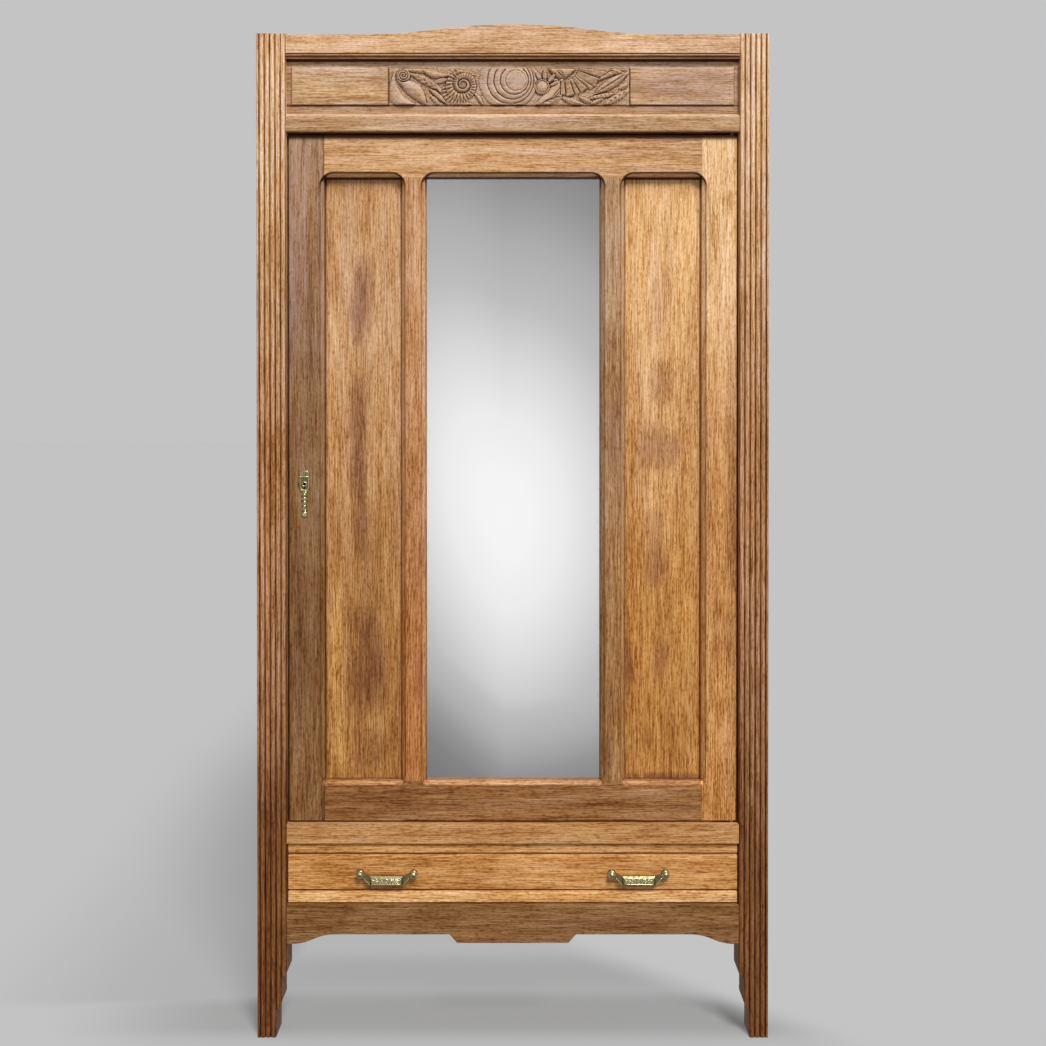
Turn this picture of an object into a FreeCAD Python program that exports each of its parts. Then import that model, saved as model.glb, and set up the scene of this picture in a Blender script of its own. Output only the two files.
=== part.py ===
"""Bonnetiere: a narrow one-door oak wardrobe with a mirror in the door and a drawer below.

Millimetres. X runs to the right as one faces the door, Y runs into the depth, Z is up.
The origin is on the floor, under the middle of the case. Each piece goes to parts/NAME.step.
"""
import FreeCAD, Part
import math
import os

V = FreeCAD.Vector

# ---------------------------------------------------------------- case: plan
case_width = 1010.0
case_depth = 470.0
post_width = 58.0
post_depth = 50.0
rail_setback = 2.0          # front rails stand this far behind the crowns of the reeds

# ---------------------------------------------------------------- case: heights, from the floor up
apron_clearance = 204.0     # floor to the level part of the apron's lower edge
apron_height = 58.0
drawer_gap = 2.0
drawer_front_height = 118.0
waist_rail_height = 38.0
door_gap_end = 4.0          # above and below the door
door_height = 1359.0
frieze_rail_height = 37.0
frieze_height = 105.0
moulding_height = 13.0
crest_height = 36.0         # at the ends of the crest rail
post_horn = 2.0             # the posts stand this far above the ends of the crest

# ---------------------------------------------------------------- posts
reed_count = 5
corner_reed = 5.5           # the narrow reed on the outer corner
reed_depth = 3.0
foot_step_high = 130.0      # where the first reed ends
foot_step_low = 79.0        # where the second reed ends
foot_step_taper = 24.0      # height of the second, longer rounding

# ---------------------------------------------------------------- front rails
crest_thickness = 24.0
crest_arch_half = 300.0     # half width of the arch
crest_arch_rise = 20.0
rail_thickness = 30.0       # frieze rail and waist rail
frieze_rail_chamfer = 6.0
apron_thickness = 24.0
apron_end_drop = 19.0
apron_end_flat = 8.0        # level stretch beside each post
apron_end_run = 88.0        # length of the ogee that rises from it
apron_drop = 17.0           # the middle hangs this far below the level part
apron_drop_half = 110.0
apron_shoulder_run = 15.0   # the slant at each end of the hanging middle
front_tenon_length = 25.0
front_tenon_thickness = 10.0
tenon_shoulder = 8.0

# ---------------------------------------------------------------- crest moulding and frieze
moulding_depth = 22.0
moulding_fillet = 3.5       # height of the small bead under the large one
moulding_quirk = 2.0        # flat above each bead
frieze_setback = 11.0
frieze_thickness = 18.0
frieze_housing = 8.0
field_rise = 3.0
field_margin_side = 10.0
field_margin_low = 17.0
field_margin_top = 14.0
field_chamfer = 1.5
carving_half = 238.0
carving_x = -7.0            # the carved panel sits a little to the left
carving_rise = 8.0          # highest point of the carving above the frieze board
carving_ground = 2.0
carving_shoulder = 1.5      # sloped edge of each ring
medallion_radii = (58.0, 43.0, 31.0, 20.0)
medallion_drift = 0.42      # the smaller a ring, the further right it sits
shell_radii = (33.0, 22.0, 11.0)
volute_radii = (12.5,)
fruit_radii = (14.0,)
pleat_fold = 3.5

# ---------------------------------------------------------------- side and back frames
side_setback = 3.0
side_thickness = 22.0
side_top_rail_height = 90.0
side_bottom_rail_height = 90.0
side_bottom_rail_low = 190.0
back_setback = 3.0
back_thickness = 22.0
back_rail_height = 100.0
back_rail_low = 186.0
back_muntin_width = 70.0
frame_tenon_length = 22.0
frame_tenon_thickness = 10.0
frame_tenon_shoulder = 16.0
panel_thickness = 8.0
panel_tongue = 10.0         # how far a panel stands in its groove
panel_float = 1.0           # room left at the bottom of the groove

# ---------------------------------------------------------------- boards and shelves
top_board_thickness = 16.0
top_board_drop = 10.0       # top board below the ends of the crest
top_board_housing = 8.0
floor_thickness = 18.0
shelf_thickness = 18.0
shelf_low = 790.0           # underside of the lowest shelf
shelf_pitch = 350.0
shelf_front_gap = 8.0       # behind the front posts
shelf_gap = 1.5             # round the back posts and the sides
batten_width = 24.0
batten_height = 28.0

# ---------------------------------------------------------------- door
door_setback = 12.0
door_thickness = 28.0
door_gap_lock = 3.0
door_gap_hinge = 2.0
stile_width = 71.0
door_muntin_width = 50.0
door_top_rail_height = 83.0
door_bottom_rail_height = 78.0
side_opening_width = 151.0
sight_chamfer = 9.0         # width of the chamfer round each opening
sight_chamfer_depth = 12.0
sight_depth = 17.0          # face of the door down to the panels
sight_radius_top = 27.0     # rounded upper corners of the chamfer
sight_radius_low = 10.0
rebate_width = 8.0
door_tenon_length = 42.0
muntin_tenon_length = 30.0
door_tenon_setback = 8.5
door_tenon_thickness = 8.0
door_tenon_shoulder = 14.0
hinge_arris = 4.0           # rounding that lets the hinge stile turn past the post
door_panel_thickness = 6.0
mirror_thickness = 5.0
backboard_thickness = 3.0
panel_gap = 1.0             # panel to the wall of its rebate
stop_width = 12.0
stop_depth = 12.0
stop_gap = 0.4
stop_margin = 15.0

# ---------------------------------------------------------------- pivot hinges
pivot_inset = 10.0          # axis to the door's hinge edge
pivot_depth = 8.0           # axis to the door's face
pivot_plate_length = 45.0
pivot_plate_width = 12.0
pivot_plate_thickness = 2.5
pivot_plate_end = 1.0       # plate to the end of the door or of the rail
pivot_pin_radius = 3.5
pivot_pin_reach = 12.0      # pin inside the door
pivot_collar_radius = 5.5
pivot_running_gap = 0.15
pivot_thrust_gap = 0.1
pivot_wood_gap = 0.6

# ---------------------------------------------------------------- lock
key_height = 1094.5
key_inset = 31.5            # keyhole to the door's lock edge
key_radius = 3.5
key_slot_width = 4.0
key_slot_length = 10.0
lock_length = 60.0
lock_low = 30.0             # lock case below and above the keyhole
lock_high = 36.0
lock_depth = 14.0
bolt_length = 33.0
bolt_height = 14.0
bolt_thickness = 7.0
bolt_lift = 16.0            # middle of the bolt above the keyhole
bolt_gap = 0.3
bolt_throw = 8.0
strike_thickness = 1.5
strike_height = 48.0
strike_width = 20.0
strike_gap = 1.0
strike_clearance = 5.0      # mortise behind the end of the thrown bolt

# ---------------------------------------------------------------- escutcheon
escutcheon_thickness = 2.0
escutcheon_head_half = 9.5
escutcheon_head_high = 22.0
escutcheon_cap_half = 6.0
escutcheon_cap_high = 27.0
escutcheon_head_low = 12.0
escutcheon_neck_half = 6.0
escutcheon_tip_half = 2.5
escutcheon_length = 60.0    # keyhole down to the middle of the rosette below
escutcheon_rosette = 5.5
escutcheon_curl = 3.2       # ring at the left edge of the head
escutcheon_wire = 1.0
escutcheon_bar_high = 14.0  # keyhole up to the middle of the upper bar
escutcheon_bar_low = 13.5   # keyhole down to the middle of the lower bar
escutcheon_bar_height = 6.0
escutcheon_bead_pitch = 9.5
escutcheon_bead_share = 0.75

# ---------------------------------------------------------------- drawer
drawer_setback = 8.0
drawer_front_thickness = 22.0
drawer_arris = 2.0
groove_depth = 4.0
groove_quirk = 1.5          # flat bottom of a groove
groove_lip = 9.0            # rounded lower lip of a groove
groove_low = 27.0           # edge over the lower groove, above the front's lower edge
groove_high = 18.5          # edge over the upper groove, below the front's upper edge
drawer_side_thickness = 14.0
drawer_side_height = 110.0
drawer_back_thickness = 12.0
drawer_back_housing = 6.0
drawer_back_gap = 10.0      # drawer to the back frame
drawer_bottom_thickness = 6.0
drawer_bottom_lift = 10.0
drawer_groove = 5.0
tail_count = 3
tail_lap = 6.0              # wood of the front that covers the tails
tail_root = 20.0
tail_flare = 3.0
runner_gap = 0.3
runner_ledge = 20.0         # width of the ledge under the drawer side
runner_thickness = 22.0
guide_gap = 1.3
guide_height = 36.0
kicker_gap = 2.3
bearer_overlap = 15.0       # bearer reaches this far over the drawer side

# ---------------------------------------------------------------- drop pulls
pull_offset = 249.0
pull_height = 59.0          # bail axis above the drawer front's lower edge
pull_half = 53.0            # boss to the middle of the pull
boss_facets = 12            # sides of the knob, its rosette and its stud
boss_radius = 6.5           # this and the radii below reach to the corners of the facets
boss_flat_radius = 3.0      # small flat at the front of the knob
boss_shoulder = 4.0         # half length of the knob's widest part
boss_plate_radius = 8.0
boss_plate_thickness = 2.0
boss_neck_radius = 3.5
boss_reach = 9.5            # bail axis to the face of the drawer
boss_stud_radius = 2.5
boss_nut_radius = 5.5
boss_nut_thickness = 3.5
bail_pin_radius = 2.0
bail_pin_gap = 0.2
bail_pin_reach = 5.0
bail_ball_gap = 0.5
grip_half = 32.5
grip_top = 2.0              # grip below the bail axis
grip_height = 18.5
grip_back = 3.5             # grip behind and before the bail axis
grip_front = 3.5
grip_facet = 3.0
arm_thickness = 4.0
arm_tip_low = 5.0
arm_tip_high = 4.0

# ---------------------------------------------------------------- derived places
front = -case_depth / 2
back = case_depth / 2
outer = case_width / 2
inner = outer - post_width  # inner face of the posts
reed_pitch = (post_width - corner_reed) / reed_count

apron_low = apron_clearance
apron_top = apron_low + apron_height
drawer_low = apron_top + drawer_gap
drawer_top = drawer_low + drawer_front_height
waist_low = drawer_top + drawer_gap
waist_top = waist_low + waist_rail_height
door_low = waist_top + door_gap_end
door_top = door_low + door_height
frieze_rail_low = door_top + door_gap_end
frieze_rail_top = frieze_rail_low + frieze_rail_height
frieze_top = frieze_rail_top + frieze_height
crest_low = frieze_top + moulding_height
crest_top = crest_low + crest_height
post_top = crest_top + post_horn

rail_front = front + rail_setback
frieze_front = front + frieze_setback
post_back = front + post_depth          # back face of the front posts
back_post_front = back - post_depth
side_outer = outer - side_setback
side_inner = side_outer - side_thickness
back_frame_front = back - back_setback - back_thickness
back_frame_back = back - back_setback

door_left = -inner + door_gap_lock
door_right = inner - door_gap_hinge
door_front = front + door_setback
door_back = door_front + door_thickness
pivot_x = door_right - pivot_inset
pivot_y = door_front + pivot_depth

drawer_front = front + drawer_setback
drawer_front_back = drawer_front + drawer_front_thickness
drawer_half = inner - drawer_gap
drawer_rear = back_frame_front - drawer_back_gap
drawer_side_inner = drawer_half - drawer_side_thickness
drawer_side_top = drawer_low + drawer_side_height

parts = {}


# ---------------------------------------------------------------- shape helpers
def box(x0, x1, y0, y1, z0, z1):
    """Box between two corners."""
    return Part.makeBox(x1 - x0, y1 - y0, z1 - z0, V(x0, y0, z0))


def line(a, b):
    """Straight edge."""
    return Part.LineSegment(a, b).toShape()


def arc(a, middle, b):
    """Circular edge through three points."""
    return Part.Arc(a, middle, b).toShape()


def quarter(a, b, centre):
    """Quarter round from a to b about a centre; an ellipse's quarter is met at its middle."""
    share = math.sqrt(0.5)
    return arc(a, centre + (a - centre) * share + (b - centre) * share, b)


def ogee(a, b):
    """Two arcs from a to b in the XZ plane, level at both ends."""
    run = abs(b.x - a.x) / 2
    rise = abs(b.z - a.z) / 2
    radius = (run ** 2 + rise ** 2) / (2 * rise)
    half_turn = math.asin(run / radius) / 2
    step_x = math.copysign(radius * math.sin(half_turn), b.x - a.x)
    step_z = math.copysign(radius * (1 - math.cos(half_turn)), b.z - a.z)
    step = V(step_x, 0, step_z)
    middle = (a + b) * 0.5
    return [arc(a, a + step, middle), arc(middle, b - step, b)]


def outline(points):
    """Closed chain of straight edges."""
    return [line(a, b) for a, b in zip(points, points[1:] + points[:1])]


def extrude(edges, way):
    """Solid swept straight from a closed chain of edges."""
    return Part.Face(Part.Wire(edges)).extrude(way)


def slab(edges, y0, y1):
    """Solid from an outline in the XZ plane, between two depths."""
    solid = extrude(edges, V(0, y1 - y0, 0))
    solid.translate(V(0, y0, 0))
    return solid


def front_point(x, z):
    """Point of an outline in the XZ plane."""
    return V(x, 0, z)


def mirrored(shape):
    """The same piece on the left-hand side."""
    return shape.mirror(V(0, 0, 0), V(1, 0, 0))


def joined(shapes):
    """One solid from several, without the seams."""
    return shapes[0].fuse(shapes[1:]).removeSplitter()


def rod(start, way, radius, length):
    """Round bar."""
    return Part.makeCylinder(radius, length, start, way)


def revolved(points):
    """Solid turned about the Y axis from a closed profile of radii and depths."""
    return Part.Face(Part.Wire(outline(points))).revolve(V(0, 0, 0), V(0, 1, 0), 360)


def add(name, shape):
    """Keep a piece under the name of its file."""
    parts[name] = shape


def add_pair(name, right):
    """Keep a right-hand piece and its mirror image."""
    add(name + "_right", right)
    add(name + "_left", mirrored(right))


# ---------------------------------------------------------------- front rails
def tenoned(body, y_middle, z0, z1):
    """A front rail's body with a tenon on each end."""
    half = front_tenon_thickness / 2
    reach = inner + front_tenon_length
    bar = box(-reach, reach, y_middle - half, y_middle + half, z0, z1)
    return joined([body, bar])


def make_crest_rail():
    """Crest rail: its upper edge swells to a low arch between two level ends."""
    peak = front_point(0, crest_top + crest_arch_rise)
    right = front_point(crest_arch_half, crest_top)
    left = front_point(-crest_arch_half, crest_top)
    corner = front_point(inner, crest_top)
    far_corner = front_point(-inner, crest_top)
    low_left = front_point(-inner, crest_low)
    low_right = front_point(inner, crest_low)
    edges = [line(low_left, low_right), line(low_right, corner), line(corner, right)]
    edges += ogee(right, peak) + ogee(peak, left)
    edges += [line(left, far_corner), line(far_corner, low_left)]
    body = slab(edges, rail_front, rail_front + crest_thickness)
    return tenoned(body, rail_front + crest_thickness / 2,
                   crest_low + tenon_shoulder, crest_top - tenon_shoulder)


def make_crest_moulding():
    """Planted moulding under the crest: a large bead over a small one, each with a flat above it."""
    bead = (moulding_height - moulding_fillet - 2 * moulding_quirk) / 2
    back_y = frieze_front + moulding_depth
    shallow = front + bead
    small_low = V(0, shallow, frieze_top)
    small_crown = V(0, shallow - moulding_fillet / 2, frieze_top + moulding_fillet / 2)
    small_high = V(0, shallow, frieze_top + moulding_fillet)
    bead_low = V(0, shallow, crest_low - moulding_quirk - 2 * bead)
    crown = V(0, front, crest_low - moulding_quirk - bead)
    bead_high = V(0, shallow, crest_low - moulding_quirk)
    high = V(0, shallow, crest_low)
    back_high = V(0, back_y, crest_low)
    back_low = V(0, back_y, frieze_top)
    edges = [arc(small_low, small_crown, small_high), line(small_high, bead_low),
             arc(bead_low, crown, bead_high), line(bead_high, high),
             line(high, back_high), line(back_high, back_low), line(back_low, small_low)]
    moulding = extrude(edges, V(2 * inner, 0, 0))
    moulding.translate(V(-inner, 0, 0))
    return moulding


def raised_field(x0, x1):
    """Flat field that stands proud of the frieze board, with a small chamfer round it."""
    z0 = frieze_rail_top + field_margin_low
    z1 = frieze_top - field_margin_top
    field = box(x0, x1, frieze_front - field_rise, frieze_front, z0, z1)
    face_edges = [edge for edge in field.Edges
                  if abs(edge.BoundBox.YMax - (frieze_front - field_rise)) < 1e-6]
    return field.makeChamfer(field_chamfer, face_edges)


def make_frieze_board():
    """Frieze board housed in the posts, with a raised field at each end."""
    reach = inner + frieze_housing
    board = box(-reach, reach, frieze_front, frieze_front + frieze_thickness,
                frieze_rail_top, frieze_top)
    field_end = inner - field_margin_side
    fields = [raised_field(carving_x + carving_half, field_end),
              raised_field(-field_end, carving_x - carving_half)]
    return joined([board] + fields)


def carved_point(x, z):
    """Point of the carving's drawing, from the middle of the carved panel."""
    z_middle = (frieze_rail_top + field_margin_low + frieze_top - field_margin_top) / 2
    return front_point(carving_x + x, z_middle + z)


def turned(centre, radii, rise):
    """Round boss of the carving: each ring has a sloped shoulder and stands above the one outside it."""
    points = [V(0, 0, 0)]
    level = 0.0
    for radius in radii:
        points.append(V(radius, -level, 0))
        level += rise
        points.append(V(radius - carving_shoulder, -level, 0))
    points.append(V(0, -level, 0))
    boss = revolved(points)
    boss.translate(centre + V(0, frieze_front - carving_ground, 0))
    return boss


def leaf(start, end, bulge_left, bulge_right, rise):
    """Leaf of the carving between two tips; each bulge is how far its edge bows to that side."""
    middle = (start + end) * 0.5
    across = V(start.z - end.z, 0, end.x - start.x).normalize()
    edges = [arc(start, middle + across * bulge_left, end),
             arc(end, middle - across * bulge_right, start)]
    face = frieze_front - carving_ground
    return slab(edges, face - rise, face)


def pleat(knot, angle, spread, near, far):
    """Ridged fold of a pleated fan; it widens from the knot and spread is half its angle."""
    heading = math.radians(angle)
    along = V(math.cos(heading), 0, math.sin(heading))
    across = V(-along.z, 0, along.x)
    foot = V(0, frieze_front - carving_ground, 0)
    wires = []
    for reach in (near, far):
        middle = knot + foot + along * reach
        side = across * (reach * math.tan(math.radians(spread)))
        wires.append(Part.Wire(outline([middle - side, middle + side, middle - V(0, pleat_fold, 0)])))
    return Part.makeLoft(wires, True, True)


def make_frieze_carving():
    """Main forms of the carved panel: scroll, shell, ringed medallion, fruit, fan and leaves."""
    z0 = frieze_rail_top + field_margin_low
    z1 = frieze_top - field_margin_top
    left = carving_x - carving_half
    right = carving_x + carving_half
    rise = (carving_rise - carving_ground) / len(medallion_radii)
    forms = [box(left, right, frieze_front - carving_ground, frieze_front, z0, z1)]
    for step, radius in enumerate(medallion_radii):
        centre = carved_point(22 - medallion_drift * radius, 11)
        forms.append(turned(centre, (radius,), rise * (step + 1)))
    forms.append(turned(carved_point(-91, 3), shell_radii, rise))
    forms.append(turned(carved_point(-209, 21), volute_radii, 1.5 * rise))
    forms.append(turned(carved_point(65, -3), fruit_radii, 4 * rise))
    for angle, spread, far in ((-13, 10.5, 55), (-45, 10, 44), (-88, 16, 36)):
        forms.append(pleat(carved_point(117, 19), angle, spread, 14, far))
    leaves = (((-172, -36), (-210, 37), 37, -21),   # outer scroll
              ((-166, -36), (-220, 10), 8, 19),
              ((-198, 24), (-138, -4), 4.5, 4.5),
              ((-172, 31), (-119, 23), 2, 12.5),
              ((-158, -8), (-120, -35), 4.5, 4.5),
              ((65, 10), (54, 30), 4, 4),           # three petals over the fruit
              ((70, 10), (71, 32), 4, 4),
              ((76, 7), (89, 23), 4, 4),
              ((52, -37), (106, 17), 3, 26),        # lobed leaf round the fruit
              ((73, 36), (128, 35), 1, 19.5),       # draped cloth over the fan
              ((143, -14), (238, 29), 12.5, 17),    # long leaf up to the right-hand corner
              ((179, -37), (238, -4), 6, 8),
              ((103, -25), (145, -36), 4.5, 4.5),
              ((145, -32), (178, -20), 4, 4))
    for step, (start, end, bulge_left, bulge_right) in enumerate(leaves):
        level = rise * (2 + step % 2)
        forms.append(leaf(carved_point(*start), carved_point(*end), bulge_left, bulge_right, level))
    frame = box(left, right, frieze_front - carving_rise, frieze_front, z0, z1)
    return joined(forms).common(frame)


def make_frieze_rail():
    """Lower frieze rail with a chamfer on its upper front edge, back to the frieze board."""
    points = [V(0, rail_front, frieze_rail_low),
              V(0, rail_front, frieze_rail_top - frieze_rail_chamfer),
              V(0, frieze_front, frieze_rail_top),
              V(0, rail_front + rail_thickness, frieze_rail_top),
              V(0, rail_front + rail_thickness, frieze_rail_low)]
    body = extrude(outline(points), V(2 * inner, 0, 0))
    body.translate(V(-inner, 0, 0))
    return tenoned(body, rail_front + rail_thickness / 2 + 2,
                   frieze_rail_low + tenon_shoulder, frieze_rail_top - tenon_shoulder)


def make_waist_rail():
    """Plain rail between door and drawer."""
    body = box(-inner, inner, rail_front, rail_front + rail_thickness, waist_low, waist_top)
    return tenoned(body, rail_front + rail_thickness / 2,
                   waist_low + tenon_shoulder, waist_top - tenon_shoulder)


def make_apron():
    """Apron: ogee ends beside the posts and a hanging middle with slanted shoulders."""
    end_z = apron_low - apron_end_drop
    drop_z = apron_low - apron_drop
    flat_x = inner - apron_end_flat
    rise_x = flat_x - apron_end_run
    drop_x = apron_drop_half + apron_shoulder_run

    def half(side):
        """Lower edge of one half, from the post to the middle."""
        start = front_point(side * inner, end_z)
        flat = front_point(side * flat_x, end_z)
        rise = front_point(side * rise_x, apron_low)
        corner = front_point(side * drop_x, apron_low)
        hang = front_point(side * apron_drop_half, drop_z)
        return [line(start, flat)] + ogee(flat, rise) + [line(rise, corner), line(corner, hang)]

    top_left = front_point(-inner, apron_top)
    top_right = front_point(inner, apron_top)
    edges = half(-1) + [line(front_point(-apron_drop_half, drop_z), front_point(apron_drop_half, drop_z))]
    edges += half(1) + [line(front_point(inner, end_z), top_right), line(top_right, top_left),
                        line(top_left, front_point(-inner, end_z))]
    ordered = Part.Wire(Part.__sortEdges__(edges)).Edges
    body = slab(ordered, rail_front, rail_front + apron_thickness)
    return tenoned(body, rail_front + apron_thickness / 2,
                   apron_low + tenon_shoulder, apron_top - tenon_shoulder)


# ---------------------------------------------------------------- posts
def make_front_post():
    """Right-hand front post: reeded face, and a foot that steps in where two reeds end."""
    valley = front + reed_depth
    points = [V(inner + reed_pitch * step, valley, 0) for step in range(reed_count + 1)]
    points.append(V(outer, valley, 0))
    back_outer = V(outer, post_back, 0)
    back_inner = V(inner, post_back, 0)
    edges = []
    for a, b in zip(points, points[1:]):
        crown = V((a.x + b.x) / 2, front, 0)
        edges.append(arc(a, crown, b))
    edges += [line(points[-1], back_outer), line(back_outer, back_inner), line(back_inner, points[0])]
    return extrude(edges, V(0, 0, post_top)).cut(foot_cutter())


def foot_cutter():
    """Wood taken from the inner side of the foot, in two steps with rounded ends."""
    clear = 5.0
    first_x = inner + reed_pitch
    second_x = first_x + reed_pitch
    away = front_point(inner - clear, foot_step_high)
    edge = front_point(inner, foot_step_high)
    first_end = front_point(first_x, foot_step_high - reed_pitch)
    second_start = front_point(first_x, foot_step_low)
    second_end = front_point(second_x, foot_step_low - foot_step_taper)
    low = front_point(second_x, -clear)
    low_away = front_point(inner - clear, -clear)
    edges = [line(away, edge),
             quarter(edge, first_end, front_point(first_x, foot_step_high)),
             line(first_end, second_start),
             quarter(second_start, second_end, front_point(second_x, foot_step_low)),
             line(second_end, low), line(low, low_away), line(low_away, away)]
    return slab(edges, front - clear, post_back + clear)


def make_back_post():
    """Right-hand back post, square and plain."""
    return box(inner, outer, back_post_front, back, 0, post_top)


# ---------------------------------------------------------------- side frames
def side_rail(z0, z1):
    """Right-hand side rail with a tenon on each end."""
    body = box(side_inner, side_outer, post_back, back_post_front, z0, z1)
    middle = (side_inner + side_outer) / 2
    half = frame_tenon_thickness / 2
    bar = box(middle - half, middle + half, post_back - frame_tenon_length,
              back_post_front + frame_tenon_length, z0 + frame_tenon_shoulder, z1 - frame_tenon_shoulder)
    return joined([body, bar])


side_bottom_rail_top = side_bottom_rail_low + side_bottom_rail_height
side_top_rail_low = crest_top - side_top_rail_height
side_panel_x0 = (side_inner + side_outer - panel_thickness) / 2
side_panel_x1 = side_panel_x0 + panel_thickness


def side_panel(room):
    """Right-hand side panel; room is the play of its groove."""
    reach = panel_tongue + room
    return box(side_panel_x0, side_panel_x1, post_back - reach, back_post_front + reach,
               side_bottom_rail_top - reach, side_top_rail_low + reach)


# ---------------------------------------------------------------- back frame
back_rail_top = back_rail_low + back_rail_height
back_top_rail_low = crest_top - back_rail_height
back_panel_y0 = (back_frame_front + back_frame_back - panel_thickness) / 2
back_panel_y1 = back_panel_y0 + panel_thickness
back_tenon_y0 = (back_frame_front + back_frame_back - frame_tenon_thickness) / 2
back_tenon_y1 = back_tenon_y0 + frame_tenon_thickness


def back_rail(z0, z1):
    """Back rail with a tenon on each end."""
    body = box(-inner, inner, back_frame_front, back_frame_back, z0, z1)
    reach = inner + frame_tenon_length
    bar = box(-reach, reach, back_tenon_y0, back_tenon_y1,
              z0 + frame_tenon_shoulder, z1 - frame_tenon_shoulder)
    return joined([body, bar])


def make_back_muntin():
    """Upright between the two back panels, tenoned into both back rails."""
    half = back_muntin_width / 2
    body = box(-half, half, back_frame_front, back_frame_back, back_rail_top, back_top_rail_low)
    tenon_half = half - frame_tenon_shoulder
    bar = box(-tenon_half, tenon_half, back_tenon_y0, back_tenon_y1,
              back_rail_top - frame_tenon_length, back_top_rail_low + frame_tenon_length)
    return joined([body, bar])


def back_panel(room):
    """Right-hand back panel; room is the play of its groove."""
    reach = panel_tongue + room
    return box(back_muntin_width / 2 - reach, inner + reach, back_panel_y0, back_panel_y1,
               back_rail_top - reach, back_top_rail_low + reach)


# ---------------------------------------------------------------- boards, bearers and shelves
def post_blanks(room):
    """The four posts as plain blocks with some room round them, for notching boards."""
    blanks = []
    for side in (1, -1):
        x0, x1 = sorted((side * (inner - room), side * (outer + room)))
        blanks.append(box(x0, x1, front - room, post_back + room, 0, post_top))
        blanks.append(box(x0, x1, back_post_front - room, back + room, 0, post_top))
    return blanks


def make_top_board():
    """Dust board let into grooves of the crest, side and back rails."""
    z1 = crest_top - top_board_drop
    reach = side_inner + top_board_housing
    board = box(-reach, reach, rail_front + crest_thickness - top_board_housing,
                back_frame_front + top_board_housing, z1 - top_board_thickness, z1)
    return board.cut(post_blanks(0))


def make_floor_board():
    """Floor of the cupboard, level with the waist rail and notched round the posts."""
    board = box(-side_inner, side_inner, rail_front + rail_thickness, back_frame_front,
                waist_top - floor_thickness, waist_top)
    return board.cut(post_blanks(0))


def make_floor_bearer():
    """Right-hand bearer under the floor board; it also keeps the drawer from tipping."""
    return box(drawer_half - bearer_overlap, side_inner, post_back, back_post_front,
               drawer_side_top + kicker_gap, waist_top - floor_thickness)


def make_drawer_runner():
    """Right-hand runner: a ledge under the drawer side with a guide beside it."""
    top = drawer_low - runner_gap
    guide_x = drawer_half + guide_gap
    points = [V(guide_x - runner_ledge, 0, top - runner_thickness),
              V(side_inner, 0, top - runner_thickness),
              V(side_inner, 0, top + guide_height),
              V(guide_x, 0, top + guide_height),
              V(guide_x, 0, top),
              V(guide_x - runner_ledge, 0, top)]
    return slab(outline(points), post_back, back_post_front)


def make_shelf(level):
    """Removable shelf, notched round the back posts, resting on its battens."""
    half = side_inner - shelf_gap
    shelf = box(-half, half, post_back + shelf_front_gap, back_frame_front - shelf_gap,
                level, level + shelf_thickness)
    return shelf.cut(post_blanks(shelf_gap))


shelf_levels = [shelf_low + shelf_pitch * step for step in range(3)]


def make_shelf_battens():
    """Six battens between front and back posts, two under each shelf."""
    battens = []
    for level in shelf_levels:
        right = box(side_inner - batten_width, side_inner, post_back, back_post_front,
                    level - batten_height, level)
        battens += [right, mirrored(right)]
    return Part.makeCompound(battens)


def make_door_stop():
    """Strip behind the door's lock edge, glued to the left post."""
    y0 = door_back + stop_gap
    return box(-inner, -inner + stop_width, y0, y0 + stop_depth,
               door_low + stop_margin, door_top - stop_margin)


# ---------------------------------------------------------------- door
door_open_low = door_low + door_bottom_rail_height
door_open_top = door_top - door_top_rail_height
left_opening = (door_left + stile_width, door_left + stile_width + side_opening_width)
right_opening = (door_right - stile_width - side_opening_width, door_right - stile_width)
mirror_opening = (left_opening[1] + door_muntin_width, right_opening[0] - door_muntin_width)
door_openings = (left_opening, mirror_opening, right_opening)
door_tenon_y0 = door_front + door_tenon_setback
door_tenon_y1 = door_tenon_y0 + door_tenon_thickness


def rectangle_wire(x0, x1, z0, z1, y):
    """Rectangular wire at one depth."""
    corners = [V(x0, y, z0), V(x1, y, z0), V(x1, y, z1), V(x0, y, z1)]
    return Part.Wire(outline(corners))


def rounded_outline(x0, x1, z0, z1):
    """Rectangle whose two upper corners have a larger radius than its two lower ones."""
    top = sight_radius_top
    low = sight_radius_low
    a, b = front_point(x0 + low, z0), front_point(x1 - low, z0)
    c, d = front_point(x1, z0 + low), front_point(x1, z1 - top)
    e, f = front_point(x1 - top, z1), front_point(x0 + top, z1)
    g, h = front_point(x0, z1 - top), front_point(x0, z0 + low)
    return [line(a, b), quarter(b, c, front_point(x1 - low, z0 + low)), line(c, d),
            quarter(d, e, front_point(x1 - top, z1 - top)), line(e, f),
            quarter(f, g, front_point(x0 + top, z1 - top)), line(g, h),
            quarter(h, a, front_point(x0 + low, z0 + low))]


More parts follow.
